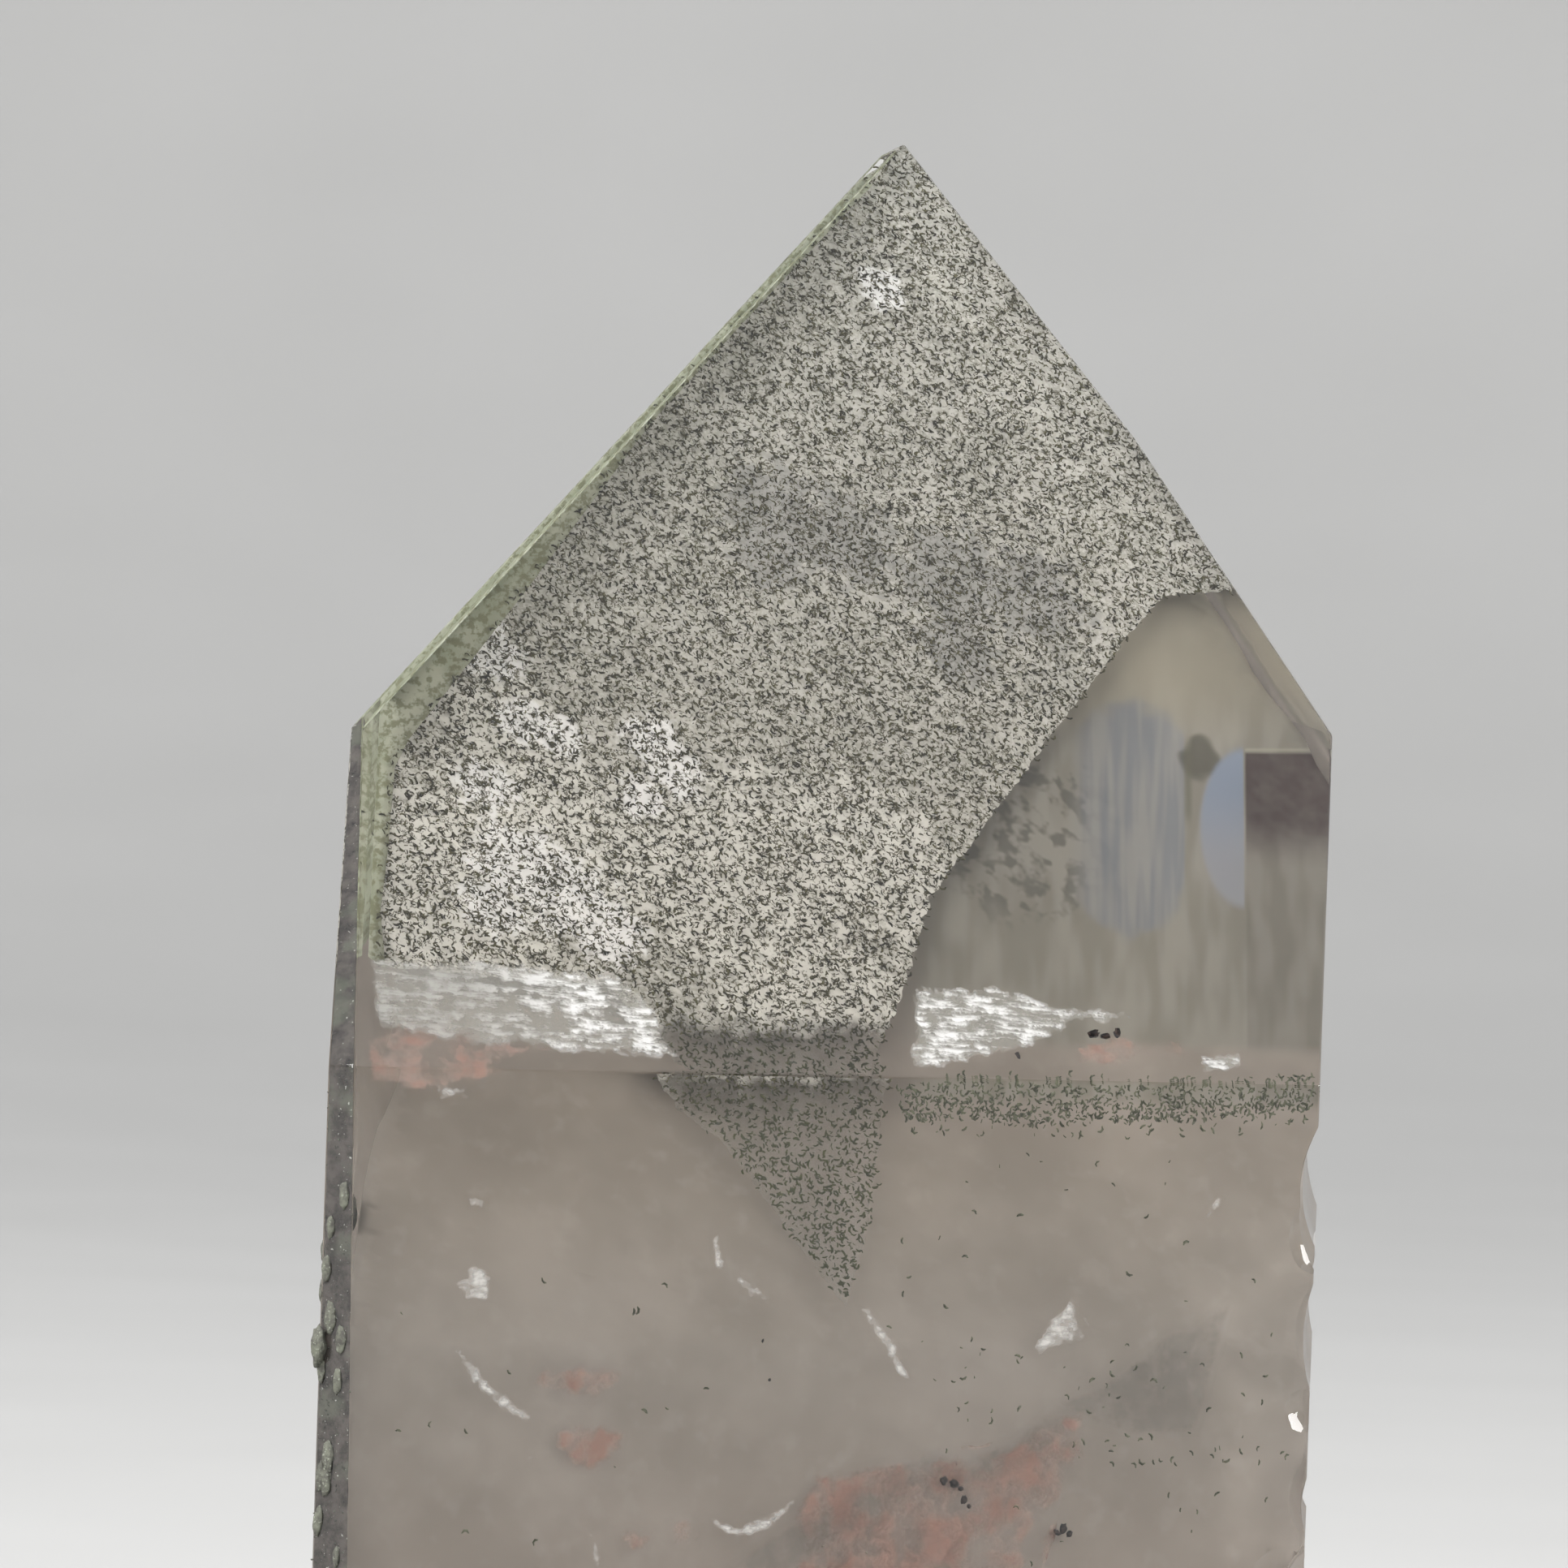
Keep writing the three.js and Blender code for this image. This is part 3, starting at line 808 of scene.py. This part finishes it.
STRIP = [
    (1106, 1336), (1200, 1331), (1330, 1335), (1500, 1331), (1616, 1322), (1616, 1362), (1570, 1372),
    (1500, 1376), (1420, 1384), (1330, 1378), (1250, 1386), (1190, 1374), (1140, 1386), (1110, 1372),
]  # fmt: skip
FRINGE = [
    (1108, 1366), (1300, 1362), (1612, 1356), (1608, 1388), (1480, 1400), (1300, 1404), (1180, 1396),
    (1116, 1404),
]  # fmt: skip
CLUSTERS = [  # outline in the photo, flakes to the square millimetre, least distance
    ([(1142, 1660), (1196, 1652), (1262, 1668), (1266, 1720), (1225, 1740), (1210, 1760), (1160, 1745)],
     4.5, 0.3),
    ([(1293, 1772), (1400, 1760), (1520, 1770), (1592, 1775), (1588, 1800), (1480, 1808), (1330, 1800)],
     6, 0.25),
    ([(1436, 1845), (1500, 1842), (1504, 1876), (1440, 1874)], 7, 0.22),
    ([(1483, 1530), (1546, 1522), (1551, 1580), (1490, 1584)], 3, 0.3),
    ([(1330, 1655), (1450, 1640), (1440, 1700), (1350, 1740), (1320, 1730)], 3, 0.3),
    ([(772, 1606), (799, 1608), (797, 1620), (770, 1616)], 9, 0.2),
    ([(785, 1725), (825, 1728), (822, 1748), (788, 1746)], 7, 0.2),
    ([(460, 1500), (860, 1480), (900, 1930), (470, 1932)], 0.12, 1.0),
    ([(1120, 1420), (1590, 1420), (1590, 1930), (1000, 1932)], 0.35, 0.6),
]
flakes = Finish("chlorite_flakes", Roughness=0.6, **Finish.SEALED)
speckle = flakes.noise(flakes.place(), 0.2, detail=1)
flakes.set(Base_Color=flakes.blend(speckle.step(0.35, 0.65), (0.04, 0.046, 0.022), (0.15, 0.16, 0.10)))
strip = [
    strew("flake_strip", patch(0.9, STRIP), 0.1, 130, 0.5, 51, patchy=0.3),
    strew("flake_fringe", patch(0.9, FRINGE), 0.2, 16, 0.5, 52, patchy=0.9),
]
loose = [
    strew(f"flakes_{i}", patch(1.2, corners), gap, density, 0.5, 60 + i, patchy=0.9)
    for i, (corners, density, gap) in enumerate(CLUSTERS)
]


def joined(name, pieces, finish):
    """Several small pieces as one."""
    whole = bmesh.new()
    for piece in pieces:
        whole.from_mesh(piece.data)
        bpy.data.objects.remove(piece)
    bmesh.ops.scale(whole, vec=(1 / MM,) * 3, verts=whole.verts)
    one = new_piece(name, whole)
    dress(one, finish)
    one.data.shade_smooth()


joined("flake_strip", strip, flakes)
joined("loose_flakes", loose, flakes)

# %% Clear the shelf
def clear_shelf(shelf):
    for grain in list(shelf.objects):
        bpy.data.objects.remove(grain)
    bpy.data.collections.remove(shelf)


clear_shelf(worms)
print("shelf cleared")

# %% [markdown]
# ## The milky older crystal
# Below the chlorite the older crystal is milky with trapped bubbles, which gives the lower body its
# smooth beige look. It could be a volume that scatters, but an opaque crumpled surface a little under
# the faces does the same and is quick. It is a block cut by the same planes moved inward, bitten
# where the crystal is broken, and its top slopes up to the back. Through the clear window right of
# the chlorite that top is painted with reflections and shade: a darker streaked tone, a tan band,
# soft bluish patches, dark patches and a light line. They are painted only where it faces the viewer,
# in a grid that is nearly the photo's own pixels, which three lines of sight give.

# %% Milky core
CORE_DEPTH = {  # how far each of its sides lies under the crystal's own face
    "broad": 2, "right": 0.5, "back right": 1.1, "back": 1.7, "left": 0.35, "front left": 0.35,
    "base": 0.4, "left point": 2.2, "right upper": 0.35, "right lower": 0.35, "rear": 1.6,
    "rear right": 1.6,
}  # fmt: skip
UNDER_SHEET = on_sheet(0, 0, 1.7), SHEET_OUT


def diced(mesh, cell):
    """Cut into triangles about as long as the cell."""
    bmesh.ops.triangulate(mesh, faces=mesh.faces)
    longest = max(edge.calc_length() for edge in mesh.edges)
    for _ in range(math.ceil(math.log2(longest / cell))):
        long = [edge for edge in mesh.edges if edge.calc_length() > cell]
        bmesh.ops.subdivide_edges(mesh, edges=long, cuts=1)
        bmesh.ops.triangulate(mesh, faces=mesh.faces)


def crumpled(mesh, cell, amount, grain=3):
    """Diced, and pushed in and out by noise."""
    diced(mesh, cell)
    mesh.normal_update()
    spots = [vert.co / grain for vert in mesh.verts]
    swells = [noise.noise(spot) + 0.45 * noise.noise(spot * 2.7) for spot in spots]
    for vert, swell in zip(mesh.verts, swells):
        vert.co += vert.normal * swell * amount


core_planes = [moved_in(face, CORE_DEPTH[name]) for name, face in FACES.items() if name in CORE_DEPTH]
CORE_TOP = BROAD_OUT * BROAD + Vector((0, 0, EDGE - 1.6))
core_planes += [(TURN, SHEET_SLOPE, UNDER_SHEET[0]), (TURN, 46, CORE_TOP), (270, 82, (-17.6, 0, 31))]
core_block = cut_block(core_planes)
crumpled(core_block, 1.2, 0.3)
core = new_piece("milky_core", core_block)
DEEP_BREAKS = BREAKS[:7]  # the last two are nicks that don't reach it
BREAK_WALL, SHELL_WALL = 0.9, 0.7  # clear quartz left between a break and the core
bites = [hollow(middle, [size + BREAK_WALL for size in half], turn) for middle, half, turn in DEEP_BREAKS]
bites += [shell(*row[:4], row[4] + SHELL_WALL, row[5]) for row in SHELLS]
carved(core, bites)


def photo_grid(place, plane, u=1400, v=1000):
    """Two wires that nearly give the photo's pixel for places seen near (u, v) on a plane inside."""
    corner, right, down = (seen_on(*pixel, *plane) for pixel in ((u, v), (u + 100, v), (u, v + 100)))
    rows = Matrix(((right - corner) / 100, (down - corner) / 100, enter(u, v)[1])).transposed().inverted()
    return [place.finish.along(place, row) + (pixel - row.dot(corner)) for row, pixel in zip(rows, (u, v))]


def between(wire, low, high, soft):
    return wire.step(low - soft, low + soft) * (1 - wire.step(high - soft, high + soft))


milk = Finish("milk", Roughness=0.7, **Finish.SEALED)
place = milk.place()
cloud = milk.noise(place, 7.0, detail=3, roughness=0.6)
fine = milk.noise(place, 1.1, detail=2)
u, v = photo_grid(place, UNDER_SHEET)
to_viewer = milk.along(milk.node("NewGeometry", out="Normal"), SHEET_OUT).step(0.2, 0.5)
window = milk.along(place, (0, 0, 1)).step(32.8, 33.4) * u.step(1100, 1160) * to_viewer
tone = milk.blend(cloud.step(0.3, 0.7), (0.285, 0.253, 0.22), (0.36, 0.323, 0.286))
low = 1 - milk.along(place, (0, 0, 1)).step(6, 26)
tone = milk.blend(low * 0.5, tone, (0.38, 0.312, 0.265))
tone = milk.blend(fine.step(0.5, 0.8) * 0.4, tone, (0.39, 0.355, 0.32))
# painted reflection: a darker, streaked tone over the clear window
reflection_drapes = milk.noise(milk.grid(u / 26, v / 110), 1.0, detail=1)
window_reflection_tone = milk.blend(reflection_drapes.step(0.35, 0.65), (0.215, 0.205, 0.172), (0.29, 0.28, 0.245))
tone = milk.blend(window * 0.85, tone, window_reflection_tone)
mottle = milk.noise(place, 0.9, detail=2, roughness=0.6)
stripes = milk.noise(milk.grid(u / 14, v / 160), 1.0, detail=1)
wobble = milk.noise(place, 1.6, detail=1) - 0.5
bent_u, bent_v = u + wobble * 36, v + wobble * 60


def oval(u, v, middle, half, soft=0.3):
    x, y = (u - middle[0]) / half[0], (v - middle[1]) / half[1]
    return 1 - (x * x + y * y).step(1 - soft, 1 + soft)


# Painted reflections and painted shade in the clear window: a tan band at the top, a bluish panel and lens,
# mottled dark shade, a dark shaded rectangle and a light line along its top.
tan_reflection = 1 - v.step(820, 940)
blue_panel_reflection = milk.blend(stripes.step(0.35, 0.65), (0.20, 0.213, 0.237), (0.285, 0.285, 0.28))
blue_lens_reflection = milk.blend(v.step(960, 1080), (0.235, 0.28, 0.36), (0.30, 0.31, 0.34))
mottled_painted_shade = oval(bent_u, bent_v, (1280, 1035), (120, 100), 0.5) * mottle.step(0.46, 0.62)
blue_panel_place = u.step(1312, 1352) * (1 - u.step(1457, 1462)) * oval(u, bent_v, (1390, 1005), (95, 145), 0.15)
shaded_rectangle_place = u.step(1533, 1537) * v.step(924, 929) * (1 - v.step(1005, 1075) * 0.8)
WINDOW_REFLECTIONS = [  # where in the photo and how strong, then the colour
    (tan_reflection * 0.8, (0.34, 0.312, 0.245)),
    (mottled_painted_shade * 0.75, (0.10, 0.095, 0.08)),
    (blue_panel_place * 0.85, blue_panel_reflection),
    (oval(u + wobble * 40, bent_v, (1482, 940), (21, 27), 0.5) * 0.8, (0.075, 0.07, 0.05)),
    (between(u, 1460, 1468, 4) * between(v, 915, 1010, 15) * 0.6, (0.12, 0.115, 0.08)),
    (oval(u, v, (1533, 1020), (54, 98), 0.15) * (1 - u.step(1531, 1534)), blue_lens_reflection),
    (shaded_rectangle_place * (mottle * 0.6 + 0.65), (0.068, 0.048, 0.044)),
    (u.step(1533, 1537) * between(v, 921, 924, 2) * 0.6, (0.40, 0.38, 0.30)),
]
for strength, colour in WINDOW_REFLECTIONS:
    tone = milk.blend(strength * window, tone, colour)
milk.set(Base_Color=tone)
dress(core, milk)
core.data.shade_smooth()
print("milky core:", len(core.data.polygons), "faces")

# %% [markdown]
# ## Things placed by what the photo shows
# The finer things inside are placed by their outline in the photo, followed along the bent line of
# sight onto a plane inside. A film of haze or a healed crack is a thin crumpled plate, whose edge
# fades out by a value stored on its corners.


# %% Films inside the quartz
def under_front(depth):
    """The plane this far under the big front face."""
    return Vector(CORNER) - outward(TURN, RHOMB) * depth, outward(TURN, RHOMB)


def to_side(point, start, end):
    """How far a point is from a side of an outline."""
    nearest, share = geometry.intersect_point_line(point, start, end)
    return (point - (start if share < 0 else end if share > 1 else nearest)).length


def film(plane, pixels, rim, crumple, cell=0.4):
    """A crumpled plate with its outline at these pixels, which fades over the rim."""
    mesh = bmesh.new()
    fade = mesh.verts.layers.float.new("fade")
    corners = [seen_on(u, v, *plane) for u, v in pixels]
    mesh.faces.new([mesh.verts.new(corner) for corner in corners])
    diced(mesh, cell)
    for vert in mesh.verts:
        inward = min(to_side(vert.co, *side) for side in zip(corners, corners[1:] + corners[:1]))
        vert[fade] = min(inward / rim, 1)
    crumpled(mesh, cell, crumple, 1.6)
    piece = new_piece("film", mesh)
    thickened(piece, 0.02)
    return piece


def faded(finish, tear, soft=0.65):
    """1 well inside the film, 0 at its border, torn along the way by noise from 0 to 1."""
    inside = finish.node("Attribute", {"attribute_name": "fade"}, out="Fac")
    return (inside + (tear - 0.5) * 2.2).step(0.3, 0.3 + soft) * inside.step(0, 0.7)


print("film maker ready")

# %% [markdown]
# ## White cracks and wisps
# Just above the level edge, on both sides of the chlorite's tip, inner cracks carry painted glints in
# white, nearly level streaks. Small wisps hang lower in the body.

# %% Cracks
# The cracks are real films; their white streaks and the bright block are painted glints.
flash = Finish("crack_painted_glints", Roughness=0.5, **Finish.SEALED)
place = flash.place()
across, climb = flash.along(place, ACROSS), flash.along(place, UP)
mottle = flash.noise(place, 1.0, detail=4, roughness=0.7)
drawn_out = flash.grid(across / 8, climb + across / 14 + mottle * 0.6)
streaks = flash.noise(drawn_out, 0.22, detail=4, roughness=0.65)
shine = (streaks * 0.45 + mottle * 0.55).step(0.45, 0.6) * (across.step(-20.5, -15.5) * 0.65 + 0.35)
flash.set(
    Base_Color=flash.blend(shine, (0.42, 0.405, 0.36), (0.95, 0.95, 0.94)),
    Alpha=faded(flash, mottle) * (shine * 0.55 + 0.4),
)
LEFT_CRACK = [
    (446, 1172), (560, 1176), (660, 1182), (780, 1200), (822, 1256), (848, 1310), (700, 1302), (610, 1296),
    (530, 1284), (452, 1274),
]  # fmt: skip
RIGHT_CRACK = [
    (1116, 1212), (1230, 1208), (1290, 1232), (1430, 1244), (1440, 1256), (1330, 1268), (1250, 1308),
    (1130, 1326), (1112, 1300),
]  # fmt: skip
BRIGHT_BLOCK = [(1474, 1296), (1532, 1292), (1536, 1322), (1478, 1328)]
crack_plane = under_front(0.9)
cracks = [film(crack_plane, crack, rim=0.7, crumple=0.08, cell=0.3) for crack in (LEFT_CRACK, RIGHT_CRACK)]
cracks.append(film(crack_plane, BRIGHT_BLOCK, rim=0.45, crumple=0.05, cell=0.15))
joined("level_cracks", cracks, flash)

wisp = Finish("wisp_white", Roughness=0.5, **Finish.SEALED)
mottle = wisp.noise(wisp.place(), 0.5, detail=4, roughness=0.6)
hair = wisp.noise(wisp.place((1000, 1000, 3000), turn=(0, 0.6, 0)), 0.5, detail=3)
wisp.set(
    Base_Color=wisp.blend(mottle, (0.80, 0.79, 0.76), (0.97, 0.97, 0.95)),
    Alpha=faded(wisp, mottle, 0.9) * (hair.step(0.3, 0.7) * 0.65 + 0.15),
)
WISPS = [  # outline in the photo, depth behind the broad face
    ([(550, 1656), (570, 1656), (606, 1700), (658, 1740), (664, 1756), (630, 1750), (590, 1718),
      (566, 1690)], 1.3),
    ([(868, 1862), (905, 1876), (940, 1866), (976, 1842), (986, 1850), (950, 1890), (912, 1902),
      (880, 1890)], 1.2),
    ([(716, 1878), (732, 1884), (744, 1906), (744, 1934), (728, 1934), (724, 1908)], 1.3),
    ([(872, 1522), (888, 1518), (894, 1550), (898, 1572), (876, 1568)], 1.5),
    ([(1268, 1658), (1298, 1618), (1322, 1592), (1334, 1630), (1350, 1650), (1300, 1664),
      (1276, 1676)], 1.4),
    ([(570, 1472), (604, 1468), (602, 1494), (576, 1492)], 1.5),
    ([(554, 1580), (585, 1550), (611, 1570), (606, 1606), (570, 1608)], 1.6),
    ([(644, 1784), (660, 1790), (668, 1816), (648, 1808)], 1.2),
    ([(1052, 1606), (1074, 1608), (1106, 1650), (1128, 1704), (1108, 1704), (1080, 1662)], 1.5),
    ([(900, 1562), (928, 1576), (956, 1598), (948, 1612), (910, 1594)], 1.6),
    ([(528, 1330), (582, 1334), (578, 1356), (540, 1362)], 1.4),
    ([(1474, 1500), (1500, 1470), (1512, 1476), (1490, 1512)], 1.5),
]  # fmt: skip
wisps = [film(behind_broad(depth), pixels, rim=0.4, crumple=0.1, cell=0.15) for pixels, depth in WISPS]
joined("white_wisps", wisps, wisp)
print("cracks and wisps:", len(WISPS) + 3)

# %% [markdown]
# ## Red iron oxide and black specks
# Low in the body dull red iron oxide stains healed cracks, strongest in a broad patch at the bottom
# of the picture and in two on the left. A few black specks lie in front of it. The stains are films
# like the cracks, torn by noise, and the specks are squashed balls.

# %% Red stains
rust = Finish("iron_oxide_stain", Roughness=0.7, **Finish.SEALED)
place = rust.place()
tear = rust.noise(place, 1.1, detail=5, roughness=0.7)
broad = rust.noise(place, 3.0, detail=2)
rust.set(
    Base_Color=rust.blend(tear.step(0.4, 0.65), (0.53, 0.385, 0.325), (0.47, 0.255, 0.195)),
    Alpha=faded(rust, tear) * ((tear * 0.7 + broad * 0.3).step(0.4, 0.62) * 0.42 + 0.05),
)
STAINS = [  # outline in the photo, depth behind the broad face
    ([(648, 1700), (668, 1682), (700, 1674), (740, 1676), (774, 1682), (772, 1712), (740, 1730),
      (700, 1732), (660, 1722)], 1.5),
    ([(672, 1762), (700, 1744), (740, 1748), (774, 1764), (770, 1802), (730, 1818), (700, 1816),
      (678, 1792)], 1.5),
    ([(975, 1960), (968, 1868), (1000, 1812), (1060, 1802), (1126, 1788), (1200, 1794), (1250, 1776),
      (1296, 1735), (1340, 1735), (1345, 1790), (1310, 1850), (1270, 1900), (1280, 1960)], 1.7),
    ([(752, 1880), (780, 1874), (808, 1890), (800, 1918), (762, 1920)], 1.5),
    ([(816, 1872), (846, 1860), (870, 1880), (862, 1912), (826, 1912)], 1.5),
    ([(1288, 1752), (1320, 1738), (1356, 1744), (1350, 1776), (1300, 1778)], 1.5),
    ([(1000, 1960), (1100, 1850), (1180, 1840), (1200, 1880), (1150, 1960), (1090, 2100),
      (980, 2080)], 1.3),
    ([(600, 2300), (700, 2050), (900, 2000), (1200, 2010), (1300, 2150), (1200, 2350)], 1.7),
]  # fmt: skip
HIGH_STAINS = [
    [(440, 1275), (500, 1246), (560, 1256), (640, 1280), (700, 1294), (650, 1318), (590, 1340), (520, 1350),
     (452, 1336)],
    [(1286, 1298), (1370, 1272), (1458, 1278), (1466, 1304), (1400, 1316), (1296, 1318)],
]
stains = [film(behind_broad(depth), pixels, rim=0.7, crumple=0.25) for pixels, depth in STAINS]
stains += [film(under_front(1.1), pixels, rim=0.6, crumple=0.05) for pixels in HIGH_STAINS]
joined("red_stains", stains, rust)

# %% Black specks
CRUMBS = [  # pixel in the photo, half width in millimetres
    (1163, 1824, 0.22), (1176, 1828, 0.26), (1184, 1834, 0.16), (1188, 1848, 0.17), (1194, 1856, 0.14),
    (1302, 1888, 0.16), (1310, 1884, 0.2), (1318, 1890, 0.18), (1254, 1300, 0.16), (940, 1652, 0.08),
    (948, 1700, 0.07), (1347, 1274, 0.3), (1362, 1277, 0.28), (1376, 1273, 0.2),
]  # fmt: skip
roll = Random(9)
crumbs = []
for u, v, half in CRUMBS:
    turn = turned([roll.uniform(0, 180) for _ in range(3)])
    middle = seen_on(u, v, *behind_broad(1.4))
    crumbs.append(uneven_ball(2, middle, (half, half * 0.7, half * 0.5), turn, [(1.7, 0.6, (u, v, 0))]))
soot = Finish("black_specks", Roughness=0.5, **Finish.SEALED)
sheen = soot.noise(soot.place(), 0.15).step(0.4, 0.7)
soot.set(Base_Color=soot.blend(sheen, (0.006, 0.005, 0.005), (0.05, 0.035, 0.03)))
joined("black_specks", crumbs, soot)
print(len(STAINS), "stains,", len(CRUMBS), "specks")

# %% [markdown]
# ## An older outline
# Low on the right a faint darker edge rises in steps: the outline of a smaller, earlier crystal,
# greyer than the quartz round it.

# %% Grey outline
grey = Finish("grey_outline", Roughness=0.7, **Finish.SEALED)
place = grey.place()
mottle = grey.noise(place, 1.3, detail=4, roughness=0.65)
grey.set(
    Base_Color=grey.blend(mottle.step(0.4, 0.6), (0.13, 0.12, 0.10), (0.22, 0.205, 0.18)),
    Alpha=faded(grey, mottle * 0.5 + 0.25) * (mottle.step(0.3, 0.65) * 0.13 + 0.03),
)
OLDER = [
    (1293, 1727), (1361, 1699), (1400, 1668), (1436, 1638), (1470, 1631), (1514, 1594), (1524, 1606),
    (1500, 1690), (1478, 1770), (1400, 1776), (1340, 1760),
]  # fmt: skip
LOWER = [
    (890, 1932), (960, 1880), (1062, 1822), (1136, 1784), (1191, 1788), (1245, 1771), (1293, 1727),
    (1330, 1745), (1300, 1792), (1240, 1830), (1140, 1842), (1040, 1900), (960, 1960),
]  # fmt: skip
OUTLINES = ((OLDER, 1.6), (LOWER, 1.4))
older = [film(behind_broad(depth), pixels, rim=0.5, crumple=0.2) for pixels, depth in OUTLINES]
joined("grey_outline", older, grey)

# %% [markdown]
# ## Crust on the narrow left face
# The narrow face at the left is coated with a dark skin and crumbly grey-green crust, which reaches
# a little way round onto the left face. The lumps stand where the solid has them.

# %% Dark skin
skin = Finish("dark_skin", Roughness=0.6, **Finish.SEALED)
place = skin.place()
mottle = skin.noise(place, 0.7, detail=4, roughness=0.7)
# painted glints: small light points on the dark skin
skin_glints = skin.noise(place, 0.12, detail=2).step(0.68, 0.74)
green = skin.noise(place, 1.6, detail=3).step(0.5, 0.62)
tone = skin.blend(mottle.step(0.35, 0.65), (0.055, 0.048, 0.043), (0.135, 0.118, 0.105))
tone = skin.blend(green * 0.5, tone, (0.16, 0.175, 0.13))
skin.set(Base_Color=skin.blend(skin_glints, tone, (0.62, 0.62, 0.56)), Alpha=mottle.step(0.2, 0.5) * 0.2 + 0.75)
film_mesh = skin_ground(("front left", "left sliver"), 0.07)
crumpled(film_mesh, 0.8, 0.03, 0.8)
skinned = new_piece("dark_skin", film_mesh)
thickened(skinned, 0.02)
dress_chlorite(skinned, skin)

# %% Lumps of crust
CRUST_BANDS = [(2.5, 12, 12), (12, 21.5, 14), (22.5, 29.5, 12)]  # low, high, how many
LARGEST = 2147483647
state = 83


def dice():
    """The same simple random numbers as the solid's, so that the lumps match."""
    global state
    state = state * 16807 % LARGEST
    return state / LARGEST


def left_edge(height):
    azimuth, reach, slope = REACH["front left"]
    facing = outward(azimuth, 90)
    lean = (EDGE - height) * math.tan(math.radians(slope - 90))
    return Vector((-LEFT, (reach - lean + facing.x * LEFT) / facing.y, height))


def lump(middle, half, turn):
    return uneven_ball(3, middle, half, turned((0, 0, turn)), [(2, 0.25, middle), (6, 0.12, middle)])


narrow = REACH["front left"][0]
lumps = [lump(Vector((-18, -21.3, 24.1)), (0.3, 0.7, 0.75), 0)]
for low, high, count in CRUST_BANDS:
    for i in range(count):
        height = low + (i + dice()) * (high - low) / count
        half = 0.3 + dice() * 0.35
        along = dice() * 1.1 if dice() < 0.6 else -dice() * 5
        if along > 0:
            middle = left_edge(height) + outward(narrow + 90, 90) * along
            lumps.append(lump(middle, (half * 0.4, 0.1, half), narrow))
        else:
            lumps.append(lump(left_edge(height) - Vector((0, along, 0)), (0.1, half * 1.4, half), 0))
crust = Finish("crust", Roughness=0.8)
place = crust.place()
mottle = crust.noise(place, 0.35, detail=5, roughness=0.75)
bits = crust.noise(place, 0.1, detail=2)
tone = crust.blend(mottle.step(0.35, 0.65), (0.05, 0.047, 0.04), (0.12, 0.125, 0.095))
crust.set(
    Base_Color=crust.blend(bits.step(0.6, 0.7) * 0.6, tone, (0.30, 0.32, 0.26)),
    Normal=crust.bump(mottle * 0.6 + bits * 0.4, 0.00008, 0.8),
)
crumb_shelf = worm_set("crumbs", [(60, 0.12, 0.14), (90, 0.16, 0.12), (40, 0.1, 0.18)])
on_skin = skin_ground(("front left",), 0.02)
bmesh.ops.triangulate(on_skin, faces=on_skin.faces)
lumps.append(strew("crumbs", on_skin, 0.12, 30, 0.02, 77, 1.0, crumb_shelf, (0.6, 1.3)))
clear_shelf(crumb_shelf)
joined("crust_lumps", lumps, crust)
print(len(lumps), "lumps")

# %% [markdown]
# ## Stage and light
# A pale seamless floor that curves up all round, like a shallow bowl, gives every view the same plain
# ground. Soft light comes from the open sky above and from two large panels.

# %% Stage
bowl = bmesh.new()
RISE = [  # from the middle outward, in millimetres
    (0, -0.02), (700, -0.02), (900, 20), (1050, 90), (1150, 220), (1190, 420), (1200, 700),
]  # fmt: skip
profile = [bowl.verts.new((x, 0, z)) for x, z in RISE]
edges = [bowl.edges.new(pair) for pair in zip(profile, profile[1:])]
whole_turn = math.radians(360)
bmesh.ops.spin(bowl, geom=profile + edges, axis=(0, 0, 1), angle=whole_turn, steps=48, use_merge=True)
bmesh.ops.remove_doubles(bowl, verts=bowl.verts, dist=0.01)
bmesh.ops.recalc_face_normals(bowl, faces=bowl.faces)
bmesh.ops.reverse_faces(bowl, faces=bowl.faces)
floor = new_piece("floor", bowl)
floor.data.shade_smooth()
smooth = floor.modifiers.new("smooth", "SUBSURF")
smooth.levels = smooth.render_levels = 2
paper = Finish("paper", Roughness=0.9)
fibre = paper.noise(paper.place(), 40.0, detail=1)
paper.set(Base_Color=paper.blend(fibre, (0.355, 0.351, 0.343), (0.385, 0.381, 0.373)))
floor.data.materials.append(paper.material)

# %% Light
scene = bpy.context.scene
scene.view_settings.view_transform = "Standard"
scene.cycles.transparent_max_bounces = 24  # for films that lie one behind another
scene.cycles.adaptive_threshold = 0.05  # plain places need fewer samples
scene.world = bpy.data.worlds.new("studio")
scene.world.use_nodes = True
sky = scene.world.node_tree.nodes["Background"]
sky.inputs["Color"].default_value = (0.95, 0.97, 1.0, 1)
sky.inputs["Strength"].default_value = 0.9


def panel(name, at, size, power):
    """A square soft light aimed at the crystal's middle."""
    lamp = bpy.data.lights.new(name, "AREA")
    lamp.shape, lamp.size, lamp.size_y, lamp.energy = "RECTANGLE", size, size, power
    holder = bpy.data.objects.new(name, lamp)
    holder.location = at
    holder.rotation_euler = (Vector((0, 0, 0.035)) - Vector(at)).to_track_quat("-Z", "Y").to_euler()
    bpy.context.collection.objects.link(holder)


panel("key", (-0.5, -0.45, 0.65), 0.8, 19)
panel("fill", (0.8, -0.15, 0.35), 0.5, 10)
